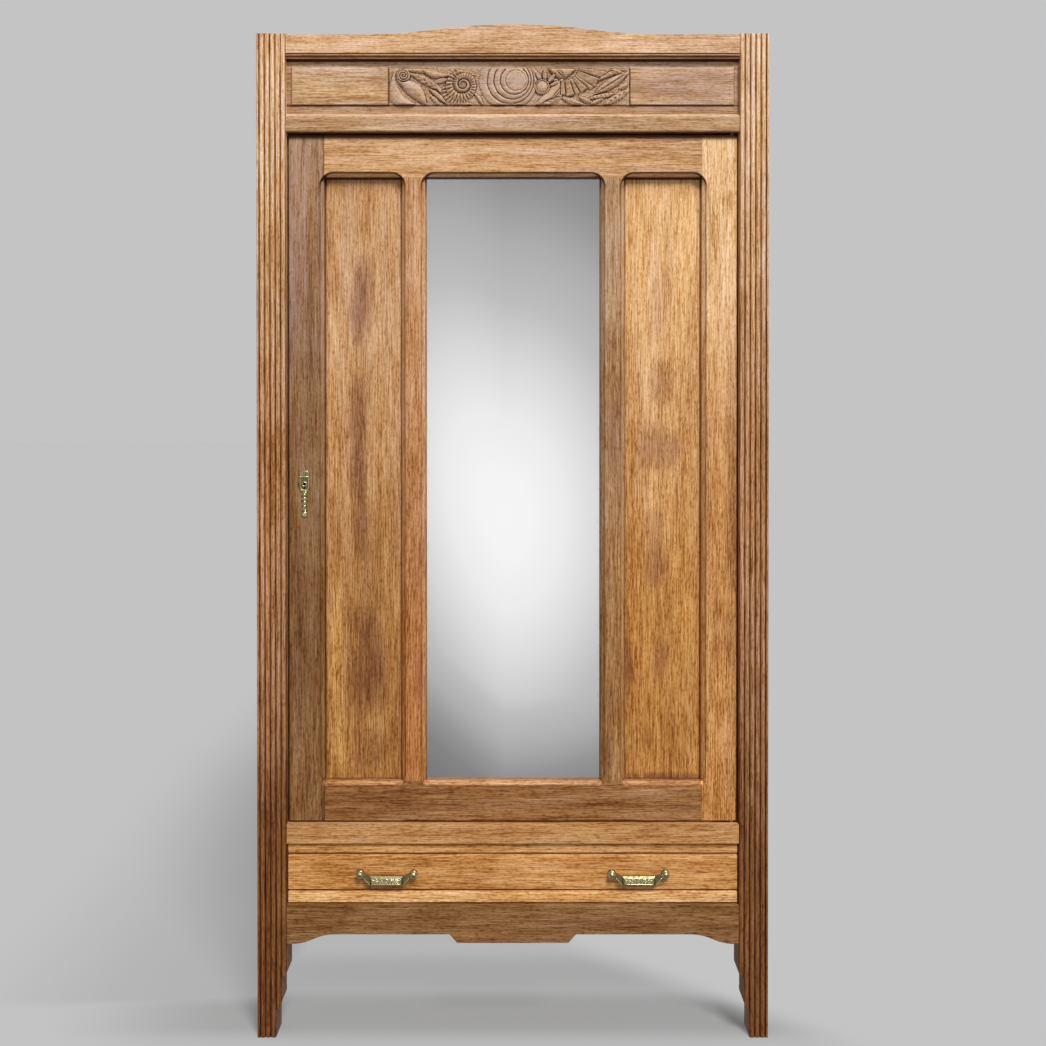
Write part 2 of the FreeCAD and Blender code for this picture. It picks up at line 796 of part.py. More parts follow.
def sight_cutter(opening):
    """Everything an opening takes out of the door frame: daylight, chamfer and rebate."""
    x0, x1 = opening
    z0, z1 = door_open_low, door_open_top
    clear = 1.0
    wide = sight_chamfer * (1 + clear / sight_chamfer_depth)
    outer_wire = rectangle_wire(x0 - wide, x1 + wide, z0 - wide, z1 + wide, door_front - clear)
    inner_wire = rectangle_wire(x0, x1, z0, z1, door_front + sight_chamfer_depth)
    funnel = Part.makeLoft([outer_wire, inner_wire], True, True)
    limit = slab(rounded_outline(x0 - sight_chamfer, x1 + sight_chamfer,
                                 z0 - sight_chamfer, z1 + sight_chamfer),
                 door_front - clear, door_front + sight_chamfer_depth)
    daylight = box(x0, x1, door_front - clear, door_back + clear, z0, z1)
    rebate = box(x0 - rebate_width, x1 + rebate_width, door_front + sight_depth, door_back + clear,
                 z0 - rebate_width, z1 + rebate_width)
    return joined([daylight, funnel.common(limit), rebate])


def make_hinge_stile_blank():
    """Hinge stile before its joints: its outer front corner is rounded."""
    x0 = door_right - stile_width
    a = V(x0, door_front, door_low)
    b = V(door_right - hinge_arris, door_front, door_low)
    c = V(door_right, door_front + hinge_arris, door_low)
    d = V(door_right, door_back, door_low)
    e = V(x0, door_back, door_low)
    centre = V(door_right - hinge_arris, door_front + hinge_arris, door_low)
    edges = [line(a, b), quarter(b, c, centre), line(c, d), line(d, e), line(e, a)]
    return extrude(edges, V(0, 0, door_height))


def door_rail(z0, z1):
    """Door rail with a tenon on each end."""
    x0 = door_left + stile_width
    x1 = door_right - stile_width
    body = box(x0, x1, door_front, door_back, z0, z1)
    bar = box(x0 - door_tenon_length, x1 + door_tenon_length, door_tenon_y0, door_tenon_y1,
              z0 + door_tenon_shoulder, z1 - door_tenon_shoulder)
    return joined([body, bar])


def door_muntin(x0):
    """Upright between two openings, tenoned into the door rails."""
    x1 = x0 + door_muntin_width
    body = box(x0, x1, door_front, door_back, door_open_low, door_open_top)
    bar = box(x0 + door_tenon_shoulder, x1 - door_tenon_shoulder, door_tenon_y0, door_tenon_y1,
              door_open_low - muntin_tenon_length, door_open_top + muntin_tenon_length)
    return joined([body, bar])


def bead_frame(opening, y0):
    """Four mitred strips that hold a panel in its rebate, from y0 to the door's back."""
    x0, x1 = opening
    z0, z1 = door_open_low, door_open_top
    w = rebate_width
    inside = [front_point(x0, z0), front_point(x1, z0), front_point(x1, z1), front_point(x0, z1)]
    outside = [front_point(x0 - w, z0 - w), front_point(x1 + w, z0 - w),
               front_point(x1 + w, z1 + w), front_point(x0 - w, z1 + w)]
    strips = []
    for a in range(4):
        b = (a + 1) % 4
        strips.append(slab(outline([outside[a], outside[b], inside[b], inside[a]]), y0, door_back))
    return strips


def rebate_panel(opening, y0, thickness):
    """Flat sheet lying in the rebate of an opening."""
    reach = rebate_width - panel_gap
    return box(opening[0] - reach, opening[1] + reach, y0, y0 + thickness,
               door_open_low - reach, door_open_top + reach)


# ---------------------------------------------------------------- pivot hinges
plate_y0 = pivot_y - pivot_plate_width / 2
plate_y1 = pivot_y + pivot_plate_width / 2
plate_x1 = door_right - pivot_plate_end
plate_x0 = plate_x1 - pivot_plate_length


def case_pivot(level, up):
    """Plate let into a rail, with its collar and pin; up is +1 below the door and -1 above."""
    z_in = level - up * pivot_plate_thickness
    plate = box(plate_x0, plate_x1, plate_y0, plate_y1, min(level, z_in), max(level, z_in))
    way = V(0, 0, up)
    start = V(pivot_x, pivot_y, level)
    collar = rod(start, way, pivot_collar_radius, door_gap_end - pivot_thrust_gap)
    pin = rod(start, way, pivot_pin_radius, door_gap_end + pivot_pin_reach)
    return joined([plate, collar, pin])


def door_pivot(level, up):
    """Plate let into an end of the door, bored for the pin."""
    z_in = level + up * pivot_plate_thickness
    plate = box(plate_x0, plate_x1, plate_y0, plate_y1, min(level, z_in), max(level, z_in))
    way = V(0, 0, up)
    bore = rod(V(pivot_x, pivot_y, level - up), way, pivot_pin_radius + pivot_running_gap,
               pivot_plate_thickness + 2)
    return plate.cut(bore)


def pin_bore(level, up):
    """Hole in the wood of the door for a pin."""
    way = V(0, 0, up)
    return rod(V(pivot_x, pivot_y, level - up), way, pivot_pin_radius + pivot_wood_gap,
               1 + pivot_pin_reach + pivot_wood_gap)


# ---------------------------------------------------------------- lock
key_x = door_left + key_inset
bolt_z = key_height + bolt_lift
lock_y0 = door_back - lock_depth
bolt_y = lock_y0 + lock_depth / 2


def keyhole(y0, y1):
    """Round hole with a slot below it, between two depths."""
    round_part = rod(V(key_x, y0, key_height), V(0, 1, 0), key_radius, y1 - y0)
    slot = box(key_x - key_slot_width / 2, key_x + key_slot_width / 2, y0, y1,
               key_height - key_slot_length, key_height)
    return joined([round_part, slot])


def lock_envelope():
    """Outside of the lock case."""
    return box(door_left, door_left + lock_length, lock_y0, door_back,
               key_height - lock_low, key_height + lock_high)


def bolt_bar(x0, x1, room):
    """Square bar along the bolt's line; room is added all round it."""
    half_y = bolt_thickness / 2 + room
    half_z = bolt_height / 2 + room
    return box(x0, x1, bolt_y - half_y, bolt_y + half_y, bolt_z - half_z, bolt_z + half_z)


def make_lock_case():
    """Lock case with the channel of its bolt and its keyhole."""
    clear = 1.0
    channel = bolt_bar(door_left - clear, door_left + bolt_length + bolt_gap, bolt_gap)
    hole = keyhole(lock_y0 - clear, door_back + clear)
    return lock_envelope().cut([channel, hole])


def make_strike_plate():
    """Plate in the left post with the hole that takes the bolt."""
    plate = box(-inner - strike_thickness, -inner, bolt_y - strike_width / 2, bolt_y + strike_width / 2,
                bolt_z - strike_height / 2, bolt_z + strike_height / 2)
    return plate.cut(bolt_bar(-inner - 2 * strike_thickness, -inner + strike_thickness, strike_gap))


# ---------------------------------------------------------------- escutcheon
def escutcheon_bar(z, half, height):
    """Raised bar across the key plate with a ridge along its middle."""
    y1 = door_front
    y0 = y1 - escutcheon_thickness
    ridge = y0 - escutcheon_wire
    points = [V(0, y1, z - height / 2), V(0, y0, z - height / 2), V(0, ridge, z),
              V(0, y0, z + height / 2), V(0, y1, z + height / 2)]
    bar = extrude(outline(points), V(2 * half, 0, 0))
    bar.translate(V(key_x - half, 0, 0))
    return bar


def make_escutcheon():
    """Brass key plate: capped head, two bars, a ring at its left, a tapering beaded drop, a rosette."""
    y1 = door_front
    y0 = y1 - escutcheon_thickness
    z = key_height
    right = [(escutcheon_cap_half, escutcheon_cap_high), (escutcheon_head_half, escutcheon_head_high),
             (escutcheon_head_half, -escutcheon_head_low), (escutcheon_neck_half, -escutcheon_head_low),
             (escutcheon_tip_half, -escutcheon_length)]
    corners = [front_point(key_x + half, z + rise) for half, rise in right]
    corners += [front_point(key_x - half, z + rise) for half, rise in reversed(right)]
    pieces = [slab(outline(corners), y0, y1)]
    pieces.append(rod(V(key_x, y1, z - escutcheon_length), V(0, -1, 0),
                      escutcheon_rosette, escutcheon_thickness))
    pieces.append(rod(V(key_x - escutcheon_head_half, y1, z), V(0, -1, 0),
                      escutcheon_curl, escutcheon_thickness + escutcheon_wire))
    pieces.append(escutcheon_bar(z + escutcheon_bar_high, escutcheon_head_half, escutcheon_bar_height))
    pieces.append(escutcheon_bar(z - escutcheon_bar_low, escutcheon_head_half - escutcheon_wire,
                                 escutcheon_bar_height / 2))
    drop = escutcheon_length - escutcheon_head_low
    bead_count = int(drop / escutcheon_bead_pitch) - 1
    for step in range(bead_count):
        below = (step + 1) * escutcheon_bead_pitch
        taper = (escutcheon_tip_half - escutcheon_neck_half) * below / drop
        pieces.append(escutcheon_bar(z - escutcheon_head_low - below, escutcheon_neck_half + taper + 1,
                                     escutcheon_bead_pitch * escutcheon_bead_share))
    clear = 1.0
    eye = rod(V(key_x - escutcheon_head_half, y1 + clear, z), V(0, -1, 0),
              escutcheon_curl - escutcheon_wire, escutcheon_thickness + escutcheon_wire + 2 * clear)
    return joined(pieces).cut([eye, keyhole(y0 - escutcheon_wire - clear, y1 + clear)])


# ---------------------------------------------------------------- drawer
def groove(z):
    """The four points of a groove under an edge at z: lip, floor, top of the floor, edge."""
    deep = drawer_front + groove_depth
    return [V(0, drawer_front, z - groove_quirk - groove_lip), V(0, deep, z - groove_quirk),
            V(0, deep, z), V(0, drawer_front, z)]


def groove_edges(points):
    """A groove from its round lower lip, which leaves the face smoothly, to the edge above it."""
    lip, floor, ceiling, edge = points
    deep = floor.y - lip.y
    high = floor.z - lip.z
    radius = (deep ** 2 + high ** 2) / (2 * deep)
    half_turn = math.asin(high / radius) / 2
    middle = lip + V(0, radius * (1 - math.cos(half_turn)), radius * math.sin(half_turn))
    return [arc(lip, middle, floor), line(floor, ceiling), line(ceiling, edge)]


def make_drawer_front_blank():
    """Drawer front: rounded arrises and two moulded grooves along its length."""
    r = drawer_arris
    low_back = V(0, drawer_front_back, drawer_low)
    low = V(0, drawer_front + r, drawer_low)
    low_face = V(0, drawer_front, drawer_low + r)
    high_face = V(0, drawer_front, drawer_top - r)
    high = V(0, drawer_front + r, drawer_top)
    high_back = V(0, drawer_front_back, drawer_top)
    lower = groove(drawer_low + groove_low)
    upper = groove(drawer_top - groove_high)
    edges = [line(low_back, low),
             quarter(low, low_face, V(0, drawer_front + r, drawer_low + r)),
             line(low_face, lower[0])] + groove_edges(lower)
    edges += [line(lower[3], upper[0])] + groove_edges(upper)
    edges += [line(upper[3], high_face),
              quarter(high_face, high, V(0, drawer_front + r, drawer_top - r)),
              line(high, high_back), line(high_back, low_back)]
    blank = extrude(edges, V(2 * drawer_half, 0, 0))
    blank.translate(V(-drawer_half, 0, 0))
    return blank


def dovetail(z):
    """One tail on the front end of the right-hand drawer side: wider towards the front."""
    y_root = drawer_front_back
    y_tip = drawer_front + tail_lap
    root = tail_root / 2
    tip = root + tail_flare
    points = [V(drawer_side_inner, y_root, z - root), V(drawer_side_inner, y_tip, z - tip),
              V(drawer_side_inner, y_tip, z + tip), V(drawer_side_inner, y_root, z + root)]
    return extrude(outline(points), V(drawer_side_thickness, 0, 0))


def make_drawer_side():
    """Right-hand drawer side, lap-dovetailed into the front."""
    board = box(drawer_side_inner, drawer_half, drawer_front_back, drawer_rear,
                drawer_low, drawer_side_top)
    spacing = drawer_side_height / tail_count
    tails = [dovetail(drawer_low + spacing * (step + 0.5)) for step in range(tail_count)]
    return joined([board] + tails)


def make_drawer_back():
    """Drawer back, housed in the sides and standing on the drawer bottom."""
    reach = drawer_side_inner + drawer_back_housing
    low = drawer_low + drawer_bottom_lift + drawer_bottom_thickness
    return box(-reach, reach, drawer_rear - drawer_back_thickness, drawer_rear, low, drawer_side_top)


def make_drawer_bottom():
    """Drawer bottom in grooves of the front and the sides."""
    reach = drawer_side_inner + drawer_groove
    low = drawer_low + drawer_bottom_lift
    return box(-reach, reach, drawer_front_back - drawer_groove, drawer_rear,
               low, low + drawer_bottom_thickness)


# ---------------------------------------------------------------- drop pulls
pull_z = drawer_low + pull_height
pull_y = drawer_front - boss_reach


def faceted(sections, sides):
    """Solid about the Y axis with flat facets; a section is its radius to the corners and its depth."""
    turns = [math.radians(360 * (side + 0.5) / sides) for side in range(sides)]
    wires = []
    for radius, depth in sections:
        corners = [V(radius * math.cos(turn), depth, radius * math.sin(turn)) for turn in turns]
        wires.append(Part.Wire(outline(corners)))
    return Part.makeLoft(wires, True, True)


def boss_stud(reach):
    """Stud behind a boss, from the bail axis to its end; the same shape makes the hole that it fills."""
    return faceted([(boss_stud_radius, 0), (boss_stud_radius, reach)], boss_facets)


def make_pull_boss(x, inward):
    """Faceted boss with its rosette, stud and six-sided nut; the knob is bored from the inner side."""
    plate = boss_reach - boss_plate_thickness
    nut = boss_reach + drawer_front_thickness
    stud_end = nut + boss_nut_thickness
    boss = joined([faceted([(boss_flat_radius, -boss_radius), (boss_radius, -boss_shoulder),
                            (boss_radius, boss_shoulder), (boss_neck_radius, plate)], boss_facets),
                   faceted([(boss_plate_radius, plate), (boss_plate_radius, boss_reach)], boss_facets),
                   faceted([(boss_nut_radius, nut), (boss_nut_radius, stud_end)], 6),
                   boss_stud(stud_end)])
    boss.translate(V(x, pull_y, pull_z))
    bore = rod(V(x + inward * boss_radius, pull_y, pull_z), V(-inward, 0, 0),
               bail_pin_radius + bail_pin_gap, bail_pin_reach + bail_pin_gap)
    return boss.cut(bore)


def make_bail(middle):
    """Swinging bail: faceted grip plate, two strap arms and a pin at the end of each."""
    z1 = pull_z - grip_top
    z0 = z1 - grip_height
    left = middle - grip_half
    right = middle + grip_half
    wires = [rectangle_wire(left, right, z0, z1, pull_y + grip_back),
             rectangle_wire(left, right, z0, z1, pull_y - grip_front + grip_facet),
             rectangle_wire(left + grip_facet, right - grip_facet, z0 + grip_facet, z1 - grip_facet,
                            pull_y - grip_front)]
    pieces = [Part.makeLoft(wires, True, True)]
    tip = pull_half - boss_radius - bail_ball_gap
    for side in (-1, 1):
        corners = [front_point(middle + side * grip_half, z0), front_point(middle + side * grip_half, z1),
                   front_point(middle + side * tip, pull_z + arm_tip_high),
                   front_point(middle + side * tip, pull_z - arm_tip_low)]
        pieces.append(slab(outline(corners), pull_y - arm_thickness / 2, pull_y + arm_thickness / 2))
        pieces.append(rod(V(middle + side * (tip - 1), pull_y, pull_z), V(side, 0, 0), bail_pin_radius,
                          1 + bail_ball_gap + bail_pin_reach))
    return joined(pieces)


# ---------------------------------------------------------------- build the case
crest_rail = make_crest_rail()
frieze_board = make_frieze_board()
frieze_rail = make_frieze_rail()
waist_rail = make_waist_rail()
apron = make_apron()
side_top_rail = side_rail(side_top_rail_low, crest_top)
side_bottom_rail = side_rail(side_bottom_rail_low, side_bottom_rail_top)
back_top_rail = back_rail(back_top_rail_low, crest_top)
back_bottom_rail = back_rail(back_rail_low, back_rail_top)
back_muntin = make_back_muntin()
top_board = make_top_board()

front_post = make_front_post().cut([crest_rail, frieze_board, frieze_rail, waist_rail, apron,
                                    side_top_rail, side_bottom_rail, side_panel(panel_float)])
back_post = make_back_post().cut([side_top_rail, side_bottom_rail, side_panel(panel_float),
                                  back_top_rail, back_bottom_rail, back_panel(panel_float)])
strike_plate = make_strike_plate()
left_post = mirrored(front_post)
left_post = left_post.cut([box(-inner - strike_thickness, -inner,
                               bolt_y - strike_width / 2, bolt_y + strike_width / 2,
                               bolt_z - strike_height / 2, bolt_z + strike_height / 2),
                           bolt_bar(door_left - bolt_throw - strike_clearance, -inner, strike_gap)])
add("front_post_right", front_post)
add("front_post_left", left_post)
add_pair("back_post", back_post)

add_pair("side_top_rail", side_top_rail.cut([side_panel(panel_float), top_board]))
add_pair("side_bottom_rail", side_bottom_rail.cut(side_panel(panel_float)))
add_pair("side_panel", side_panel(0))

both_back_grooves = [back_panel(panel_float), mirrored(back_panel(panel_float))]
add("back_top_rail", back_top_rail.cut(both_back_grooves + [back_muntin, top_board]))
add("back_bottom_rail", back_bottom_rail.cut(both_back_grooves + [back_muntin]))
add("back_muntin", back_muntin.cut(both_back_grooves))
add_pair("back_panel", back_panel(0))

add("crest_rail", crest_rail.cut(top_board))
add("crest_moulding", make_crest_moulding())
add("frieze_board", frieze_board)
add("frieze_carving", make_frieze_carving())
add("apron", apron)
add("top_board", top_board)
add("floor_board", make_floor_board())
add_pair("floor_bearer", make_floor_bearer())
add_pair("drawer_runner", make_drawer_runner())
for shelf_name, shelf_level in zip(("lower", "middle", "upper"), shelf_levels):
    add("shelf_" + shelf_name, make_shelf(shelf_level))
add("shelf_battens", make_shelf_battens())
add("door_stop", make_door_stop())
add("strike_plate", strike_plate)

low_case_pivot = case_pivot(waist_top, 1)
high_case_pivot = case_pivot(frieze_rail_low, -1)
add("case_pivots", Part.makeCompound([low_case_pivot, high_case_pivot]))
add("waist_rail", waist_rail.cut(low_case_pivot))
add("frieze_rail", frieze_rail.cut(high_case_pivot))

# ---------------------------------------------------------------- build the door
cutters = [sight_cutter(opening) for opening in door_openings]
low_door_pivot = door_pivot(door_low, 1)
high_door_pivot = door_pivot(door_top, -1)
door_top_rail = door_rail(door_open_top, door_top).cut(cutters)
door_bottom_rail = door_rail(door_low, door_open_low).cut(cutters)
left_muntin = door_muntin(left_opening[1]).cut(cutters)
right_muntin = door_muntin(right_opening[0] - door_muntin_width).cut(cutters)

lock_stile = box(door_left, door_left + stile_width, door_front, door_back, door_low, door_top)
lock_stile = lock_stile.cut(cutters + [door_top_rail, door_bottom_rail, lock_envelope(),
                                       keyhole(door_front - 1, lock_y0)])
hinge_stile = make_hinge_stile_blank()
hinge_stile = hinge_stile.cut(cutters + [door_top_rail, door_bottom_rail,
                                         low_door_pivot, high_door_pivot,
                                         pin_bore(door_low, 1), pin_bore(door_top, -1)])
add("door_stile_lock", lock_stile)
add("door_stile_hinge", hinge_stile)
add("door_top_rail", door_top_rail.cut([left_muntin, right_muntin]))
add("door_bottom_rail", door_bottom_rail.cut([left_muntin, right_muntin]))
add("door_muntin_left", left_muntin)
add("door_muntin_right", right_muntin)
add("door_pivot_plates", Part.makeCompound([low_door_pivot, high_door_pivot]))

panel_y = door_front + sight_depth
backboard_y = panel_y + mirror_thickness
add("door_panel_left", rebate_panel(left_opening, panel_y, door_panel_thickness))
add("door_panel_right", rebate_panel(right_opening, panel_y, door_panel_thickness))
add("mirror_glass", rebate_panel(mirror_opening, panel_y, mirror_thickness))
add("mirror_backboard", rebate_panel(mirror_opening, backboard_y, backboard_thickness))
beads = bead_frame(mirror_opening, backboard_y + backboard_thickness)
for side_opening in (left_opening, right_opening):
    beads += bead_frame(side_opening, panel_y + door_panel_thickness)
add("door_beads", Part.makeCompound(beads))

add("lock_case", make_lock_case())
add("lock_bolt", bolt_bar(door_left, door_left + bolt_length, 0))
add("escutcheon", make_escutcheon())

# ---------------------------------------------------------------- build the drawer
drawer_side = make_drawer_side()
drawer_back = make_drawer_back()
drawer_bottom = make_drawer_bottom()
pull_bosses = []
stud_holes = []
for middle in (-pull_offset, pull_offset):
    for side in (-1, 1):
        boss_x = middle + side * pull_half
        pull_bosses.append(make_pull_boss(boss_x, -side))
        stud_hole = boss_stud(boss_reach + drawer_front_thickness + boss_nut_thickness)
        stud_hole.translate(V(boss_x, pull_y, pull_z))
        stud_holes.append(stud_hole)
front_cutters = [drawer_side, mirrored(drawer_side), drawer_bottom] + stud_holes
add("drawer_front", make_drawer_front_blank().cut(front_cutters))
add_pair("drawer_side", drawer_side.cut([drawer_back, drawer_bottom]))
add("drawer_back", drawer_back)
add("drawer_bottom", drawer_bottom)
add("pull_bosses", Part.makeCompound(pull_bosses))
add("pull_bail_left", make_bail(-pull_offset))
add("pull_bail_right", make_bail(pull_offset))

# ---------------------------------------------------------------- write the files
os.makedirs("parts", exist_ok=True)
for name, shape in parts.items():
    assert shape.isValid(), name
    shape.exportStep("parts/" + name + ".step")
    print(f"{name:20s} {len(shape.Solids):3d} solids {len(shape.Faces):4d} faces")
print(len(parts), "pieces")
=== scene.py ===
"""Dresses a one-door oak wardrobe: waxed oak, veneered panels, a mirror, aged brass and a carved frieze.

Metres throughout. X runs to the right as one faces the door, Y runs into the depth and Z is up.
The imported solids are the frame; this file gives each of them its finish and adds the carving, the
engraving on the drop pulls, the ornament of the key plate and the small screws.
"""
import logging
from collections.abc import Callable, Sequence
from dataclasses import dataclass, field, replace
from enum import Enum
from math import prod

import bpy
import numpy as np
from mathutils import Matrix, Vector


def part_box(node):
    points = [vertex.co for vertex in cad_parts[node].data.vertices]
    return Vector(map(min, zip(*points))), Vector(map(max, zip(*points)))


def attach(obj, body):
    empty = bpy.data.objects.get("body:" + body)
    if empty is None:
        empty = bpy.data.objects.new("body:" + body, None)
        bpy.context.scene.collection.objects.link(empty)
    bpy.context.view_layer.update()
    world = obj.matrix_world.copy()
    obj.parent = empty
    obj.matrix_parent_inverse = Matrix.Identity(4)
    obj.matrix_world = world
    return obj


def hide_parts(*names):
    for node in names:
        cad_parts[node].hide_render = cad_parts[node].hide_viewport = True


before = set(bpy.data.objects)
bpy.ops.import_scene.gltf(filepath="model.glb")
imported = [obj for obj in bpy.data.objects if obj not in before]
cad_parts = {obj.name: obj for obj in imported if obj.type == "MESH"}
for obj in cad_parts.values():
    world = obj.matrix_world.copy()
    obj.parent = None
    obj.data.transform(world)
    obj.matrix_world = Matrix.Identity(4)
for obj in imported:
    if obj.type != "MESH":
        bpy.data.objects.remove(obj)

LOG = logging.getLogger("wardrobe")
Rgb = tuple[float, float, float]
Point = tuple[float, float]
Array = np.ndarray
Material = bpy.types.Material
Piece = bpy.types.Object
MM = 0.001
FRONTWARD = (0, -1, 0)


# ---------------------------------------------------------------------------- colours and nodes
def rgba(rgb: Rgb) -> tuple[float, float, float, float]:
    """Turns a display colour into the scene-linear numbers of a colour socket.

    Args:
        rgb: Red, green and blue from 0 to 255.

    Returns:
        The same colour from 0 to 1, and an alpha of 1.
    """
    values = np.asarray(rgb, float) / 255
    mixed = np.where(values <= 0.04045, values / 12.92, ((values + 0.055) / 1.055) ** 2.4)
    return float(mixed[0]), float(mixed[1]), float(mixed[2]), 1.0


class Grain(Enum):
    """Direction in which the fibres of a piece run."""

    ACROSS = 0
    DEEP = 1
    UPRIGHT = 2

    def stretch(self, along: float, across: float) -> Rgb:
        """Scale of a pattern that is drawn out along the fibres.

        Args:
            along: Cycles per metre along the fibres.
            across: Cycles per metre in the two other directions.

        Returns:
            One scale for each axis.
        """
        scales = [across, across, across]
        scales[self.value] = along
        return scales[0], scales[1], scales[2]


def arithmetic(operation: str, turned: bool = False) -> Callable[..., "Signal"]:
    """Makes a method of Signal that adds one math node.

    Args:
        operation: Name of the step, as the math node knows it.
        turned: Whether the other value comes first.

    Returns:
        The method.
    """
    def method(self: "Signal", other: "Value" = 0.0) -> "Signal":
        return self.nodes.math(operation, *((other, self) if turned else (self, other)))

    return method


@dataclass(frozen=True, eq=False)
class Signal:
    """Output of a node, which takes part in arithmetic as a number does; each step adds a math node."""

    nodes: "Nodes"
    socket: bpy.types.NodeSocket

    __add__, __radd__ = arithmetic("ADD"), arithmetic("ADD", True)
    __sub__, __rsub__ = arithmetic("SUBTRACT"), arithmetic("SUBTRACT", True)
    __mul__, __rmul__ = arithmetic("MULTIPLY"), arithmetic("MULTIPLY", True)
    __truediv__, __pow__, __abs__ = arithmetic("DIVIDE"), arithmetic("POWER"), arithmetic("ABSOLUTE")
    least, most = arithmetic("MINIMUM"), arithmetic("MAXIMUM")
    root, sine, cosine = arithmetic("SQRT"), arithmetic("SINE"), arithmetic("COSINE")
    exponential = arithmetic("EXPONENT")

    def beside(self, output: str | int) -> "Signal":
        """Another output of the same node."""
        return Signal(self.nodes, self.socket.node.outputs[output])


Value = Signal | float


class Nodes:
    """A node tree, with short calls for the nodes that the finishes, the floor and the world share."""

    def __init__(self, tree: bpy.types.NodeTree, place: str) -> None:
        """Adds the coordinates that the patterns lie in.

        Args:
            tree: The tree.
            place: Name of its coordinates.
        """
        self.tree = tree
        self.place = self.add("TexCoord", output=place)
        self.x = self.add("SeparateXYZ", {0: self.place})
        self.y, self.z = self.x.beside(1), self.x.beside(2)

    def put(self, target: bpy.types.NodeSocket, value: Value | Sequence[float]) -> None:
        """Links a signal to a socket, or writes a constant into it."""
        if isinstance(value, Signal):
            self.tree.links.new(value.socket, target)
        else:
            target.default_value = value

    def add(self, kind: str, inputs: dict[str | int, Value | Sequence[float]] | None = None,
            output: str | int = 0, **settings: str | int) -> Signal:
        """Adds one node.

        Args:
            kind: Type of the node after its prefix ShaderNode.
            inputs: What goes into each input, by name or number.
            output: Name or number of the output that is handed back.
            **settings: Choices of the node, such as its operation.

        Returns:
            The chosen output.
        """
        node = self.tree.nodes.new("ShaderNode" + kind)
        for name, value in settings.items():
            setattr(node, name, value)
        for name, value in (inputs or {}).items():
            self.put(node.inputs[name], value)
        return Signal(self, node.outputs[output])

    def math(self, operation: str, first: Value, second: Value = 0.0, clamp: bool = False) -> Signal:
        """One step of arithmetic, whose result may be kept between 0 and 1."""
        return self.add("Math", {0: first, 1: second}, operation=operation, use_clamp=clamp)

    def vector(self, operation: str, *values: Signal | Sequence[float]) -> Signal:
        """One step of vector arithmetic."""
        return self.add("VectorMath", dict(enumerate(values)), operation=operation)

    def noise(self, place: Signal, scale: Rgb, detail: float = 1.0, rough: float = 0.5) -> Signal:
        """Soft noise about 0.5.

        Args:
            place: Place at which the noise is taken.
            scale: Cycles per metre in each direction.
            detail: Number of finer noises on top of the first.
            rough: Strength of a finer noise against the one before it.

        Returns:
            The noise.
        """
        spread = self.vector("MULTIPLY", place, scale)
        return self.add("TexNoise", {"Vector": spread, "Scale": 1.0, "Detail": detail, "Roughness": rough},
                        "Fac")

    def ramp(self, value: Value, low: float, high: float, start: float = 0.0, end: float = 1.0) -> Signal:
        """Moves a value smoothly from one range to another.

        Args:
            value: What is mapped.
            low: Value that gives start.
            high: Value that gives end.
            start: Result at low and on its far side.
            end: Result at high and on its far side.

        Returns:
            The mapped value.
        """
        inputs = {"Value": value, "From Min": low, "From Max": high, "To Min": start, "To Max": end}
        return self.add("MapRange", inputs, "Result", interpolation_type="SMOOTHSTEP")

    def blend(self, share: Value, first: Signal | tuple, second: Signal | tuple) -> Signal:
        """Colour between two colours."""
        return self.add("Mix", {"Factor": share, 6: first, 7: second}, 2, data_type="RGBA")

    def powers(self, value: Signal, exponents: Rgb) -> Signal:
        """A value raised to one power for each colour, so that what darkens can also make warmer."""
        return self.add("CombineXYZ", {number: value ** power for number, power in enumerate(exponents)})

    def mix(self, share: Value, first: Signal, second: Signal) -> Signal:
        """Shader between two shaders."""
        return self.add("MixShader", {0: share, 1: first, 2: second})

    def end(self, shader: Signal) -> None:
        """Links a shader to the tree's output."""
        output = next(node for node in self.tree.nodes if node.type.startswith("OUTPUT"))
        self.put(output.inputs["Surface"], shader)


class Graph(Nodes):
    """The nodes of one material, in the cabinet's own coordinates."""

    def __init__(self, name: str) -> None:
        """Starts a material.

        Args:
            name: Name of the new material.
        """
        self.material = bpy.data.materials.new(name)
        self.material.use_nodes = True
        super().__init__(self.material.node_tree, "Object")
        self.shader = next(node for node in self.tree.nodes if node.type == "BSDF_PRINCIPLED")

    def surface(self, inputs: dict[str, Value | Sequence[float]]) -> None:
        """Sets inputs of the material's shader, by name."""
        for name, value in inputs.items():
            self.put(self.shader.inputs[name], value)

    def hollow(self) -> Signal:
        """How deep a point of a relief lies in a hollow, which its mesh carries; 0 for other pieces."""
        return self.add("Attribute", output="Fac", attribute_name="hollow")

    def relief(self, height: Signal, strength: float, distance: float, edge: float = 0.0) -> None:
        """Gives the surface its fine relief, over slightly eased edges.

        Args:
            height: Height of the pattern.
            strength: Strength of the relief.
            distance: Metres of relief at a height of 1.
            edge: Radius of the eased edges, or 0 for none.
        """
        inputs = {"Strength": strength, "Distance": distance, "Height": height}
        if edge > 0:
            inputs["Normal"] = self.add("Bevel", {"Radius": edge}, samples=4)
        self.surface({"Normal": self.add("Bump", inputs)})


# ---------------------------------------------------------------------------- finishes
FIGURE_WARMTH = (0.64, 1.0, 1.75)
SHADE_WARMTH = (0.76, 1.0, 1.24)
CLOUD_WARMTH = (0.76, 1.0, 0.86)
BLUSH = (0.6, 0.42, -0.68)
DARK_GAIN, PALE_GAIN = 1.15, 0.65
EASED_EDGE = 0.0009
PORE_DEPTH = 0.0004
WOOD_GLOSS = 0.28
